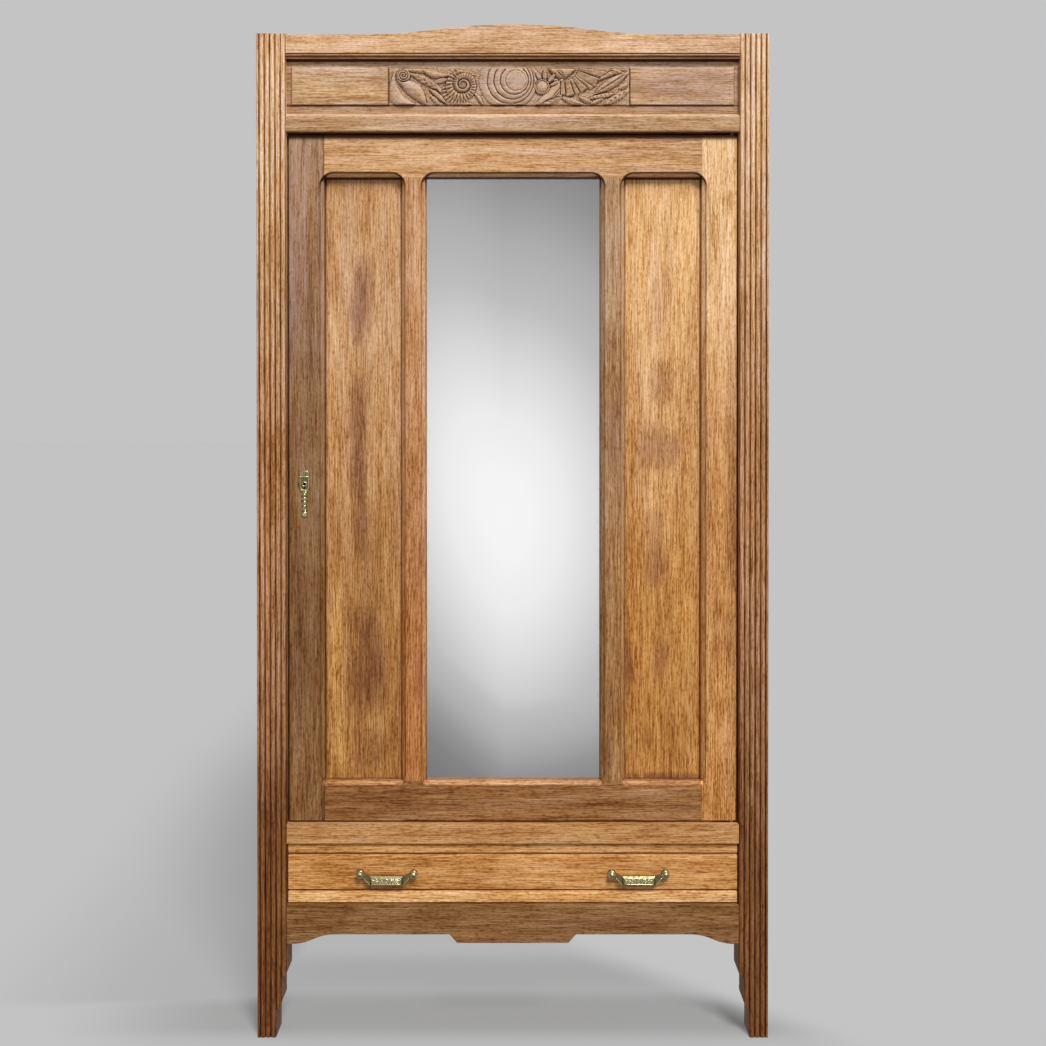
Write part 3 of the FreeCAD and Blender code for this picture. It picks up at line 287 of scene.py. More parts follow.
# Noises of the wood: cycles per metre along the fibres and across them, then detail and roughness.
BEND, BAND, STREAK = (1.1, 6.0, 2.0), (2.5, 42.0, 3.0, 0.55), (9.0, 190.0, 3.0, 0.6)
DASH, FINE, FLECK = (90.0, 390.0), (20.0, 680.0), (120.0, 38.0)
CLOUD, ROSY, RAGGED = (5.0, 16.0, 4.0, 0.6), (3.0, 55.0, 3.0, 0.6), (9.0, 40.0, 3.0, 0.6)
UNEVEN_REEDS = (14.0, 90.0)
RING_ALONG, RING_TURNS, RING_GAIN = 0.55, 95.0, 0.16
# Ramps of the wood: from, to and, unless they run from 0 to 1, the results at both.
FINE_PORES, DASH_PORES = (0.62, 0.78, 0.0, 0.7), (0.56, 0.70)
FLECK_EDGE = (0.58, 0.72)
RAGGED_GAIN = 2.2
CONTRAST_BY_HEIGHT = (0.4, 1.95, 1.3, 0.85)
REED_NOISE = (0.30, 0.62, 0.62, 1.0)
SMUDGE_EDGE = (-0.2, 1.5)


@dataclass(frozen=True)
class Seam:
    """Dark line along a joint or an edge, at one coordinate: painted shade in the gap, quirk or recess there,
    with some wax and dust.

    With a negative strength it is a pale line of painted light. An upright line may have a lowest and
    a highest z, and a line of the door keeps to the front of its y.
    """

    axis: int
    at: float
    width: float = 0.0016
    strength: float = 0.55
    reach: tuple[float, float] | None = None
    front: float | None = None

    def lines(self, graph: Graph) -> Signal:
        """Share of light that the line leaves at a point."""
        away = abs((graph.x, graph.y, graph.z)[self.axis] - self.at)
        if self.reach is not None:
            low, high = self.reach
            away = away.most(abs(graph.z - (low + high) / 2) - (high - low) / 2)
        if self.front is not None:
            away = away + graph.ramp(graph.y, self.front, self.front + 0.002, 0.0, self.width)
        return graph.ramp(away, 0.3 * self.width, self.width, 1.0 - self.strength, 1.0)


@dataclass(frozen=True)
class Smudge:
    """Darker cloud in the figure of the wood, or a lighter one where its strength is negative."""

    x: float
    z: float
    half_width: float
    half_height: float
    strength: float


def smudges_at(*rows: tuple[float, ...]) -> tuple[Smudge, ...]:
    """One smudge for each row of its numbers."""
    return tuple(Smudge(*row) for row in rows)


@dataclass(frozen=True)
class Opening:
    """An opening of the door, with lines of painted shade at both edges of its chamfer.

    Each line has a width and the shares of light that it leaves at the sides and along the top.
    """

    x: float
    z: float
    half_width: float
    half_height: float
    chamfer: float = 0.009
    radius: float = 0.027
    sharp: float = 0.003
    # Painted shade along the top: where it starts below the top, and where it is full.
    shaded: tuple[float, float] = (0.045, 0.004)
    # Painted highlight on the lower chamfer: where it starts and ends above the bottom, and its share of
    # extra light at both.
    tone_shift: tuple[float, ...] = (0.0004, -0.0015, 0.2, 0.6)
    outer_line: tuple[float, ...] = (0.0026, 0.66, 0.10)
    inner_line: tuple[float, ...] = (0.0036, 0.55, 0.05)

    def away(self, graph: Graph, grown: float, radius: float) -> Signal:
        """Distance of a point from the outline, which is a rectangle with rounded corners.

        It is the length of the part by which the point's offset passes the rectangle less its radius,
        minus that radius, so it is negative inside; near the outline this is the distance to it.

        Args:
            graph: The material's nodes.
            grown: How far the outline lies outside the opening.
            radius: Radius of its corners.

        Returns:
            The distance.
        """
        square: Value = 0.0
        for place, middle, half in ((graph.x, self.x, self.half_width), (graph.z, self.z, self.half_height)):
            past = (abs(place - middle) - (half + grown - radius)).most(0.0)
            square = square + past * past
        return square.root() - radius

    def lines(self, graph: Graph) -> Signal:
        """Share of light at a point: two lines of painted shade, darkest along the top, and a painted
        highlight on the chamfer below.
        """
        top, bottom = self.z + self.half_height, self.z - self.half_height
        inner = self.away(graph, 0.0, self.sharp)
        outer = self.away(graph, self.chamfer, self.radius)
        high = graph.ramp(graph.z, top - self.shaded[0], top - self.shaded[1])
        start, end, slight, strong = self.tone_shift
        # Painted highlight on the lower chamfer, kept out of the painted shade along the top.
        tone_shift = graph.ramp(graph.z, bottom + start, bottom + end, slight, strong) * (1.0 - high)
        light = tone_shift * graph.ramp(inner, 0.75 * self.chamfer, 0.95 * self.chamfer, 1.0, 0.0) + 1.0
        # Two lines of painted shade, at the outer and the inner edge of the chamfer.
        for away, (width, side, above) in ((outer, self.outer_line), (inner, self.inner_line)):
            line = graph.ramp(abs(away), 0.0006, width, 1.0, 0.0)
            light = light * (1.0 - line * (high * (side - above) + (1.0 - side)))
        return light


@dataclass(frozen=True)
class Reeds:
    """Painted shade: dark lines in the valleys between the reeds of a post."""

    start: float
    pitch: float
    front: float
    depth: float = 0.0034
    strength: float = 0.95
    sharpness: float = 6.5

    def lines(self, graph: Graph) -> Signal:
        """Share of light at a point of the reeded face.

        With p the distance from the first valley in pitches, it falls with a high power of the
        cosine of pi p, so that it is full on the crowns and dark at each valley; a noise along the post
        makes the lines uneven.
        """
        line = abs(((graph.x - self.start) * (np.pi / self.pitch)).cosine()) ** self.sharpness
        uneven = graph.noise(graph.place, Grain.UPRIGHT.stretch(*UNEVEN_REEDS), 2.0)
        line = line * graph.ramp(uneven, *REED_NOISE)
        valley = self.front + self.depth
        return 1.0 - line * graph.ramp(graph.y, valley, valley + 0.0008, self.strength, 0.0)


@dataclass(frozen=True)
class WoodFinish:
    """Waxed wood: bands, streaks, pores, flecks and a tone that drifts from bottom to top, on most pieces
    lighter towards the top, partly as painted light from above and partly as the wood's own tone.

    Between z_low and z_high the tone goes from low to high, by way of the middle one if there is one;
    without a high one it is the same everywhere.
    """

    name: str
    low: Rgb
    grain: Grain = Grain.UPRIGHT
    high: Rgb | None = None
    middle: Rgb | None = None
    z_low: float = 0.0
    z_high: float = 2.0
    band: float = 1.15
    streak: float = 0.95
    dash: float = 2.35
    line: float = 2.7
    figure: float = 0.4
    wave: float = 0.014
    rings: float = 9.0
    pore: float = 0.42
    fleck: float = 0.05
    blotch: float = 1.2
    blush: float = 0.5
    roughness: float = 0.5
    seed: float = 0.0
    hollow: float = 0.0
    seams: tuple[Seam, ...] = ()
    smudges: tuple[Smudge, ...] = ()
    openings: tuple[Opening, ...] = ()
    reeds: tuple[Reeds, ...] = ()

    def drawn(self, place: Signal, along: float, across: float, detail: float = 1.0,
              rough: float = 0.5) -> Signal:
        """Noise drawn out along the fibres, with its cycles per metre along them and across them."""
        return place.nodes.noise(place, self.grain.stretch(along, across), detail, rough)

    def tone(self, graph: Graph) -> tuple[Signal, Signal, Signal]:
        """Works out the pattern of the fibres.

        The place is bent by a slow noise across the fibres. Bands, streaks and fine lines are noises
        drawn out along them, and the growth rings are the contour lines of a very slow one.

        Args:
            graph: The material's nodes.

        Returns:
            The tone about 0, the fine lines and the pores.
        """
        start = graph.vector("ADD", graph.place, (self.seed, 0.37 * self.seed, 0.71 * self.seed))
        drift = (self.drawn(start, *BEND) - 0.5) * self.wave
        bent = graph.vector("MULTIPLY_ADD", self.grain.stretch(0.0, 1.0), drift, start)
        band, streak, dash, fine = (self.drawn(bent, *noise) for noise in (BAND, STREAK, DASH, FINE))
        ring = (self.drawn(bent, RING_ALONG, self.rings) * RING_TURNS).sine()
        noises = ((band, self.band), (streak, self.streak), (dash, self.dash), (fine, self.line))
        total = sum((noise - 0.5) * gain for noise, gain in noises) + ring * (RING_GAIN * self.figure)
        pores = graph.ramp(fine, *FINE_PORES).most(graph.ramp(dash, *DASH_PORES))
        return total, fine, pores

    def build(self) -> Material:
        """Makes the material.

        Returns:
            The finished material.
        """
        graph = Graph(self.name)
        tone, fine, pores = self.tone(graph)
        start = graph.vector("ADD", graph.place, (0.53 * self.seed, 0.29 * self.seed, self.seed))
        cloud = self.drawn(start, *CLOUD) - 0.5
        tone = tone + cloud * self.blotch
        tone = tone.least(0.0) * DARK_GAIN + tone.most(0.0) * PALE_GAIN
        light = (tone * graph.ramp(graph.z, *CONTRAST_BY_HEIGHT)).exponential()
        light = light * (1.0 - pores * self.pore)
        light = light * (graph.ramp(self.drawn(graph.place, *FLECK), *FLECK_EDGE, 0.0, self.fleck) + 1.0)
        # The figure, with the painted shade in the valleys of the reeds.
        lights = [(prod((reeds.lines(graph) for reeds in self.reeds), start=light), FIGURE_WARMTH)]
        # Painted shade of the openings and the seams, with some wax and dust along the joints; pale seams are
        # painted light.
        shades = [shape.lines(graph) for shape in (*self.openings, *self.seams)]
        # Painted shade in the hollows of a relief.
        if self.hollow > 0:
            shades.append(1.0 - graph.math("MULTIPLY", graph.hollow(), self.hollow, clamp=True))
        if shades:
            lights.append((prod(shades), SHADE_WARMTH))
        if self.smudges:
            lights.append((self.clouds(graph, start), CLOUD_WARMTH))
        colour = self.tint(graph)
        for light, warmth in lights:
            colour = graph.vector("MULTIPLY", colour, graph.powers(light, warmth))
        rosy = (self.drawn(start, *ROSY) - 0.5) * self.blush
        colour = graph.vector("MULTIPLY", colour, graph.vector("MULTIPLY_ADD", rosy, BLUSH, (1, 1, 1)))
        rough = graph.math("ADD", cloud * 0.25 + self.roughness, pores * 0.2, clamp=True)
        graph.surface({"Base Color": colour, "Roughness": rough, "Specular IOR Level": WOOD_GLOSS})
        graph.relief(fine * 0.5 - pores * 0.6, 0.35, PORE_DEPTH, EASED_EDGE)
        return graph.material

    def tint(self, graph: Graph) -> Signal:
        """Colour of the wood at a height, before its pattern; on most pieces lighter towards the top, partly
        as painted light from above.
        """
        low, high = rgba(self.low), rgba(self.high or self.low)
        if self.middle is None:
            return graph.blend(graph.ramp(graph.z, self.z_low, self.z_high), low, high)
        half = (self.z_low + self.z_high) / 2
        lower = graph.blend(graph.ramp(graph.z, self.z_low, half), low, rgba(self.middle))
        return graph.blend(graph.ramp(graph.z, half, self.z_high), lower, high)

    def clouds(self, graph: Graph, start: Signal) -> Signal:
        """Share of light under the smudges, whose edges a noise drawn out along the fibres makes ragged."""
        ragged = (self.drawn(start, *RAGGED) - 0.5) * RAGGED_GAIN
        light: Value = 1.0
        for smudge in self.smudges:
            across = (graph.x - smudge.x) / smudge.half_width
            above = (graph.z - smudge.z) / smudge.half_height
            share = graph.ramp(ragged + across * across + above * above, *SMUDGE_EDGE, smudge.strength, 0.0)
            light = light * (1.0 - share)
        return light


@dataclass(frozen=True)
class MetalFinish:
    """Worn metal: a bright ground with a darker bloom that gathers in the hollows."""

    name: str
    bright: Rgb
    bloom: Rgb
    roughness: float = 0.24
    bloom_share: float = 0.45
    hollow: float = 0.9
    scale: float = 160.0

    def build(self) -> Material:
        """Makes the material.

        Returns:
            The finished material.
        """
        graph = Graph(self.name)
        cloud = graph.noise(graph.place, (self.scale, self.scale, self.scale), 4.0, 0.6)
        bloom = graph.math("ADD", graph.ramp(cloud, 0.42, 0.72, 0.0, self.bloom_share),
                           graph.hollow() * self.hollow, clamp=True)
        graph.surface({"Base Color": graph.blend(bloom, rgba(self.bright), rgba(self.bloom)),
                       "Metallic": 1.0, "Roughness": bloom * 0.35 + self.roughness})
        graph.relief(cloud, 0.12, 0.0003, 0.0003)
        return graph.material


@dataclass(frozen=True)
class MirrorFinish:
    """Silvered glass with a faint ripple, and a grey bloom that creeps in from its edges."""

    name: str
    left: float
    right: float
    bottom: float
    top: float
    bright: Rgb = (246, 247, 246)
    bloom: Rgb = (150, 146, 138)
    border: float = 0.012

    def build(self) -> Material:
        """Makes the material.

        Returns:
            The finished material.
        """
        graph = Graph(self.name)
        near = abs(graph.x - self.left).least(abs(graph.x - self.right))
        near = near.least(abs(graph.z - self.bottom)).least(abs(graph.z - self.top))
        cloud = graph.noise(graph.place, (90.0, 90.0, 70.0), 4.0, 0.6)
        creep = graph.ramp(near, 0.001, self.border, 1.0, 0.0) * graph.ramp(cloud, 0.45, 0.75)
        dust = graph.ramp(graph.noise(graph.place, (700.0, 700.0, 700.0)), 0.70, 0.80, 0.0, 0.25)
        tone_shift = (creep * 0.12).most(dust * creep)
        graph.surface({"Base Color": graph.blend(tone_shift, rgba(self.bright), rgba(self.bloom)),
                       "Metallic": 1.0, "Roughness": tone_shift * 0.3 + 0.02})
        graph.relief(graph.noise(graph.place, (6.0, 6.0, 4.0)), 0.02, 0.001)
        return graph.material


# ---------------------------------------------------------------------------- meshes
SLOT_DEPTH = 0.6


def new_piece(name: str, points: Array, faces: Sequence[Sequence[int]], smooth: Array | bool) -> Piece:
    """Makes a mesh object at the origin from its points and faces.

    Args:
        name: Name of the piece.
        points: Array of n by 3 coordinates in metres.
        faces: Corner numbers of each face.
        smooth: Whether the faces are shaded smooth, for all of them or for each.

    Returns:
        The new object.
    """
    mesh = bpy.data.meshes.new(name)
    mesh.from_pydata(points.tolist(), [], faces)
    mesh.polygons.foreach_set("use_smooth", np.broadcast_to(smooth, len(mesh.polygons)).tolist())
    mesh.update()
    piece = bpy.data.objects.new(name, mesh)
    bpy.context.scene.collection.objects.link(piece)
    return piece


def settle(piece: Piece, body: str, finish: Material) -> Piece:
    """Gives a new piece its finish and the body it moves with."""
    piece.data.materials.append(finish)
    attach(piece, body)
    LOG.info("%s rides on %s", piece.name, body)
    return piece


def blurred(values: Array, steps: int) -> Array:
    """Softens a height field.

    Each pass replaces a value by a quarter of its two neighbours' sum plus half of itself, along both
    directions of the grid.

    Args:
        values: Height field.
        steps: Number of passes.

    Returns:
        The softened field.
    """
    for _ in range(steps):
        for way in (0, 1):
            padded = np.pad(values, [(1, 1) if axis == way else (0, 0) for axis in (0, 1)], mode="edge")
            before = np.take(padded, range(values.shape[way]), axis=way)
            after = np.take(padded, range(2, values.shape[way] + 2), axis=way)
            values = 0.5 * values + 0.25 * (before + after)
    return values


def relief_piece(name: str, xs: Array, zs: Array, height: Array, back: float, depth_of_hollow: float,
                 reach: int) -> Piece:
    """Closed plaque whose front is a height field over a grid in X and Z.

    The front point is (x, back - height, z). A ring at the back's depth closes the sides, and one flat
    face closes the back. The value "hollow" is how far a point lies under the softened field.

    Args:
        name: Name of the piece.
        xs: Columns of the grid.
        zs: Rows of the grid.
        height: Height of each point over the back, rows by columns.
        back: Y of the plaque's back.
        depth_of_hollow: Depth at which a hollow counts as full.
        reach: Passes of softening that the hollows are measured against.

    Returns:
        The new object.
    """
    rows, columns = height.shape
    grid_x, grid_z = np.meshgrid(xs, zs)
    front = np.stack([grid_x, back - height, grid_z], axis=-1).reshape(-1, 3)
    number = np.arange(rows * columns).reshape(rows, columns)
    quads = np.stack([number[:-1, :-1], number[:-1, 1:], number[1:, 1:], number[1:, :-1]], axis=-1)
    quads = quads.reshape(-1, 4)
    rim = np.concatenate([number[0, :-1], number[:-1, -1], number[-1, :0:-1], number[:0:-1, 0]])
    ring = front[rim].copy()
    ring[:, 1] = back
    ring_number = len(front) + np.arange(len(rim))
    following = np.roll(rim, -1)
    ring_following = np.roll(ring_number, -1)
    sides = np.stack([rim, ring_number, ring_following, following], axis=-1)
    faces = quads.tolist() + sides.tolist() + [ring_number[::-1].tolist()]
    smooth = np.zeros(len(faces), bool)
    smooth[: len(quads)] = True
    piece = new_piece(name, np.vstack([front, ring]), faces, smooth)
    sunk = np.clip((blurred(height, reach) - height) / depth_of_hollow, 0, 1).ravel()
    values = np.concatenate([sunk, np.zeros(len(rim))]).astype(np.float32)
    piece.data.attributes.new("hollow", "FLOAT", "POINT").data.foreach_set("value", values)
    return piece


def turned_piece(name: str, profile: Array, centres: Array, out: Array, segments: int = 24,
                 slot_width: float = 0.0) -> Piece:
    """Small turned pieces, all alike, each a profile carried round an axis.

    A point is centre + out * rise + (side * cos t + up * sin t) * radius. With a slot width, the points
    nearer the slot's middle line than that are pressed down by a share of the top's rise.

    Args:
        name: Name of the piece.
        profile: Rows of radius and rise; the first has radius 0 at the top, the last lies on the seat.
        centres: One seat per row.
        out: Level direction of length 1 in which the pieces stand out.
        segments: Steps round the axis.
        slot_width: Half width of a screwdriver's slot, or 0 for none.

    Returns:
        One object with all the turned pieces.
    """
    out = np.asarray(out, float)
    side = np.cross(out, (0.0, 0.0, 1.0))
    up = np.cross(out, side)
    turn = np.linspace(0, 2 * np.pi, segments, endpoint=False)
    radius = profile[1:, 0][:, None]
    rise = np.repeat(profile[1:, 1][:, None], segments, axis=1)
    across, above = radius * np.cos(turn), radius * np.sin(turn)
    pressed = SLOT_DEPTH * profile[0, 1] if slot_width > 0 else 0.0
    rise[(np.abs(across) < slot_width) & (radius < profile[-2, 0])] -= pressed
    rings = side * across[..., None] + up * above[..., None] + out * rise[..., None]
    one = np.vstack([out * (profile[0, 1] - pressed), rings.reshape(-1, 3), out * profile[-1, 1]])
    number = 1 + np.arange(rise.size).reshape(rise.shape)
    after = np.roll(number, -1, axis=1)
    tip, foot = np.zeros(segments, int), np.full(segments, rise.size + 1)
    caps = np.vstack([np.stack([tip, number[0], after[0]], axis=1),
                      np.stack([foot, after[-1], number[-1]], axis=1)])
    bands = np.stack([number[:-1], number[1:], after[1:], after[:-1]], axis=-1).reshape(-1, 4)
    copies = len(one) * np.arange(len(centres))[:, None, None]
    faces = (caps + copies).reshape(-1, 3).tolist() + (bands + copies).reshape(-1, 4).tolist()
    return new_piece(name, (one + centres[:, None]).reshape(-1, 3), faces, True)


def bead_piece(name: str, paths: Sequence[Array], radius: float, out: Array, closed: bool = True,
               sides: int = 8) -> Piece:
    """Round beads carried along paths that lie in one plane.

    A point is path + radius (cos a side + sin a out), where side stands square to the path and to out.
    The ends of an open path close in a point.

    Args:
        name: Name of the piece.
        paths: Points of each path.
        radius: Radius of the bead.
        out: Direction square to the plane of the paths.
        closed: Whether the paths are loops.
        sides: Steps round the bead.

    Returns:
        One object with all the beads.
    """
    out = np.asarray(out, float)
    angle = np.linspace(0, 2 * np.pi, sides, endpoint=False)
    points, faces = [], []
    for path in paths:
        count = len(path)
        way = np.roll(path, -1, axis=0) - np.roll(path, 1, axis=0) if closed else np.gradient(path, axis=0)
        way /= np.linalg.norm(way, axis=1)[:, None]
        side = np.cross(way, out)
        thick = np.full(count, radius)
        if not closed:
            thick[[0, -1]] = radius * 0.05
        ring = (path[:, None] + thick[:, None, None] * (np.cos(angle)[None, :, None] * side[:, None]
                                                       + np.sin(angle)[None, :, None] * out))
        number = sum(len(block) for block in points) + np.arange(count * sides).reshape(count, sides)
        after = np.roll(number, -1, axis=0) if closed else number[1:]
        before = number if closed else number[:-1]
        quads = np.stack([before, np.roll(before, -1, 1), np.roll(after, -1, 1), after], axis=-1)
        faces += quads.reshape(-1, 4)[:, ::-1].tolist()
        if not closed:
            faces += [number[0].tolist(), number[-1][::-1].tolist()]
        points.append(ring.reshape(-1, 3))
    return new_piece(name, np.vstack(points), faces, True)


def circle(centre: Sequence[float], radius: float, steps: int = 24) -> Array:
    """Points of a circle that stands upright and faces the front."""
    turn = np.linspace(0, 2 * np.pi, steps, endpoint=False)
    return np.stack([centre[0] + radius * np.cos(turn), np.full(steps, centre[1]),
                     centre[2] + radius * np.sin(turn)], axis=1)


def level_line(middle: float, half: float, steps: int, y: float, z: float) -> Array:
    """Points of a level line that runs half to each side of its middle."""
    return np.stack([middle + np.linspace(-half, half, steps), np.full(steps, y), np.full(steps, z)], axis=1)


SCREW = np.array([(0, 0.9), (1.2, 0.85), (2.2, 0.6), (2.8, 0.15), (2.8, 0.0)]) * MM
BALL = np.array([(0, 2.0), (1.3, 1.8), (2.5, 1.1), (3.2, 0.3), (3.3, 0.0)]) * MM
LOCK_SCREW = np.array([(0, 0.35), (2.0, 0.3), (2.6, 0.0)]) * MM
ROSETTE = np.array([(0, 1.9), (1.2, 1.6), (2.2, 0.5), (3.2, 1.2), (4.2, 1.3), (5.0, 0.7), (5.4, 0.1),
                    (5.4, 0.0)]) * MM


# ---------------------------------------------------------------------------- the carved frieze
def polar(x: Array, z: Array, middle: Point) -> tuple[Array, Array]:
    """Distance from a middle, and the angle about it."""
    across, above = x - middle[0], z - middle[1]
    return np.hypot(across, above), np.arctan2(above, across)


def dome(away: Array, radius: float) -> Array:
    """Height of a half ball whose radius across is the given one, and whose height is 1."""
    return np.sqrt(np.clip(1 - (away / radius) ** 2, 0, 1))


def along_line(x: Array, z: Array, start: Point, end: Point) -> tuple[Array, Array]:
    """Share along the line between two points, and the distance to its left."""
    way = np.array([end[0] - start[0], end[1] - start[1]], float)
    length = np.hypot(*way)
    way /= length
    share = ((x - start[0]) * way[0] + (z - start[1]) * way[1]) / length
    return share, -(x - start[0]) * way[1] + (z - start[1]) * way[0]


def lens(x: Array, z: Array, start: Point, end: Point, left: float,
         right: float) -> tuple[Array, Array, Array]:
    """Coordinates inside a leaf between two tips.

    With s the share along the line between the tips and t the distance to its left, the left edge lies
    at 4 s (1 - s) left, and the right edge at -4 s (1 - s) right.

    Args:
        x: Columns, in millimetres from the panel's middle.
        z: Rows, likewise.
        start: First tip.
        end: Second tip.
        left: Greatest distance of the left edge.
        right: Greatest distance of the right edge.

    Returns:
        The share along, the share across from the right edge to the left one, and whether it is inside.
    """
    s, t = along_line(x, z, start, end)
    bow = 4 * np.clip(s, 0, 1) * (1 - np.clip(s, 0, 1))
    low, high = -bow * right, bow * left
    width = np.maximum(high - low, 1e-6)
    share = (t - low) / width
    inside = (s > 0) & (s < 1) & (share > 0) & (share < 1)
    return s, share, inside


# Each leaf: its two tips, its bulge to the left and right, its height, the depth of its vein, the number
# of its side veins and how much it is stippled.
BEHIND = (
    ((-213, 34), (-140, 30), 4, 6, 4.2, 0.0, 9, 0.3), ((-199, 27), (-130, -9), 9, 7, 4.6, 0.6, 6, 1.0),
    ((-174, 34), (-117, 22), 2, 13, 5.6, 0.0, 0, 0.0), ((-150, 8), (-121, 14), 6, 6, 4.4, 0.8, 0, 0.3),
    ((-160, -4), (-119, -37), 6, 4, 5.8, 0.9, 11, 0.0), ((-148, 2), (-108, -36), 5, 4, 5.4, 0.8, 12, 0.0),
    ((-158, -16), (-138, -38), 6, 4, 4.0, 0.0, 5, 0.9), ((-110, 36), (-62, 22), 1, 9, 4.2, 0.0, 11, 0.0),
    ((-120, -24), (-66, -38), 3, 8, 4.4, 0.5, 9, 0.0), ((-70, -12), (-52, -38), 6, 2, 4.8, 0.0, 0, 0.0))
CLOTH = (
    ((48, 36), (62, 10), 3, 5, 5.4, 0.8, 0, 0.0), ((50, -37), (107, 18), 3, 27, 6.4, 0.0, 0, 0.0),
    ((62, -36), (100, -20), 3, 8, 5.2, 0.7, 4, 0.0), ((84, -26), (106, 2), 2, 4, 7.2, 0.0, 0, 0.0),
    ((76, 36), (132, 35), 1, 21, 6.8, 0.0, 0, 0.0), ((92, 34), (112, 17), 3, 3, 7.4, 0.0, 0, 0.0))
FRONT = (
    ((102, -22), (146, -36), 6, 7, 4.6, 0.0, 0, 1.3), ((136, -20), (166, -33), 5, 6, 4.6, 0.0, 0, 1.3),
    ((152, -26), (216, -14), 6, 4, 5.4, 0.8, 8, 0.0), ((160, -36), (186, -24), 5, 4, 4.4, 0.0, 0, 0.9),
    ((172, 9), (233, 33), 9, 1, 5.6, 0.0, 7, 0.0), ((196, 35), (236, 22), 4, 3, 4.2, 0.0, 5, 0.3),
    ((184, -37), (238, -6), 7, 9, 4.6, 0.9, 6, 0.2), ((214, -6), (240, 8), 5, 5, 4.0, 0.0, 0, 1.4),
    ((166, -16), (237, 29), 9, 11, 7.0, 2.6, 0, 0.0), ((64, 8), (52, 31), 5, 5, 6.6, 1.8, 0, 0.0),
    ((70, 8), (70, 34), 5, 5, 7.0, 1.8, 0, 0.0), ((76, 6), (91, 25), 5, 5, 6.6, 1.8, 0, 0.0),
    ((79, 0), (100, 10), 4, 4, 6.0, 1.5, 0, 0.0), ((-172, -38), (-226, 31), 44, -17, 5.8, 0.0, 0, 0.0),
    ((-163, -37), (-221, 12), 8, 21, 7.2, 0.0, 0, 0.0))
# Each plank of the fan: its two ends, its half width at both, and its height.
PLANKS = (
    ((104, 10), (106, -17), 3.5, 5.5, 5.2), ((115, 12), (121, -19), 4.0, 8.5, 6.6),
    ((121, 14), (136, -16), 2.5, 5.0, 5.0), ((126, 17), (149, -9), 4.0, 8.0, 7.0),
    ((131, 20), (164, -5), 2.5, 4.5, 5.2), ((134, 26), (174, 6), 5.0, 10.0, 7.4),
    ((138, 34), (192, 22), 3.5, 7.0, 5.4))


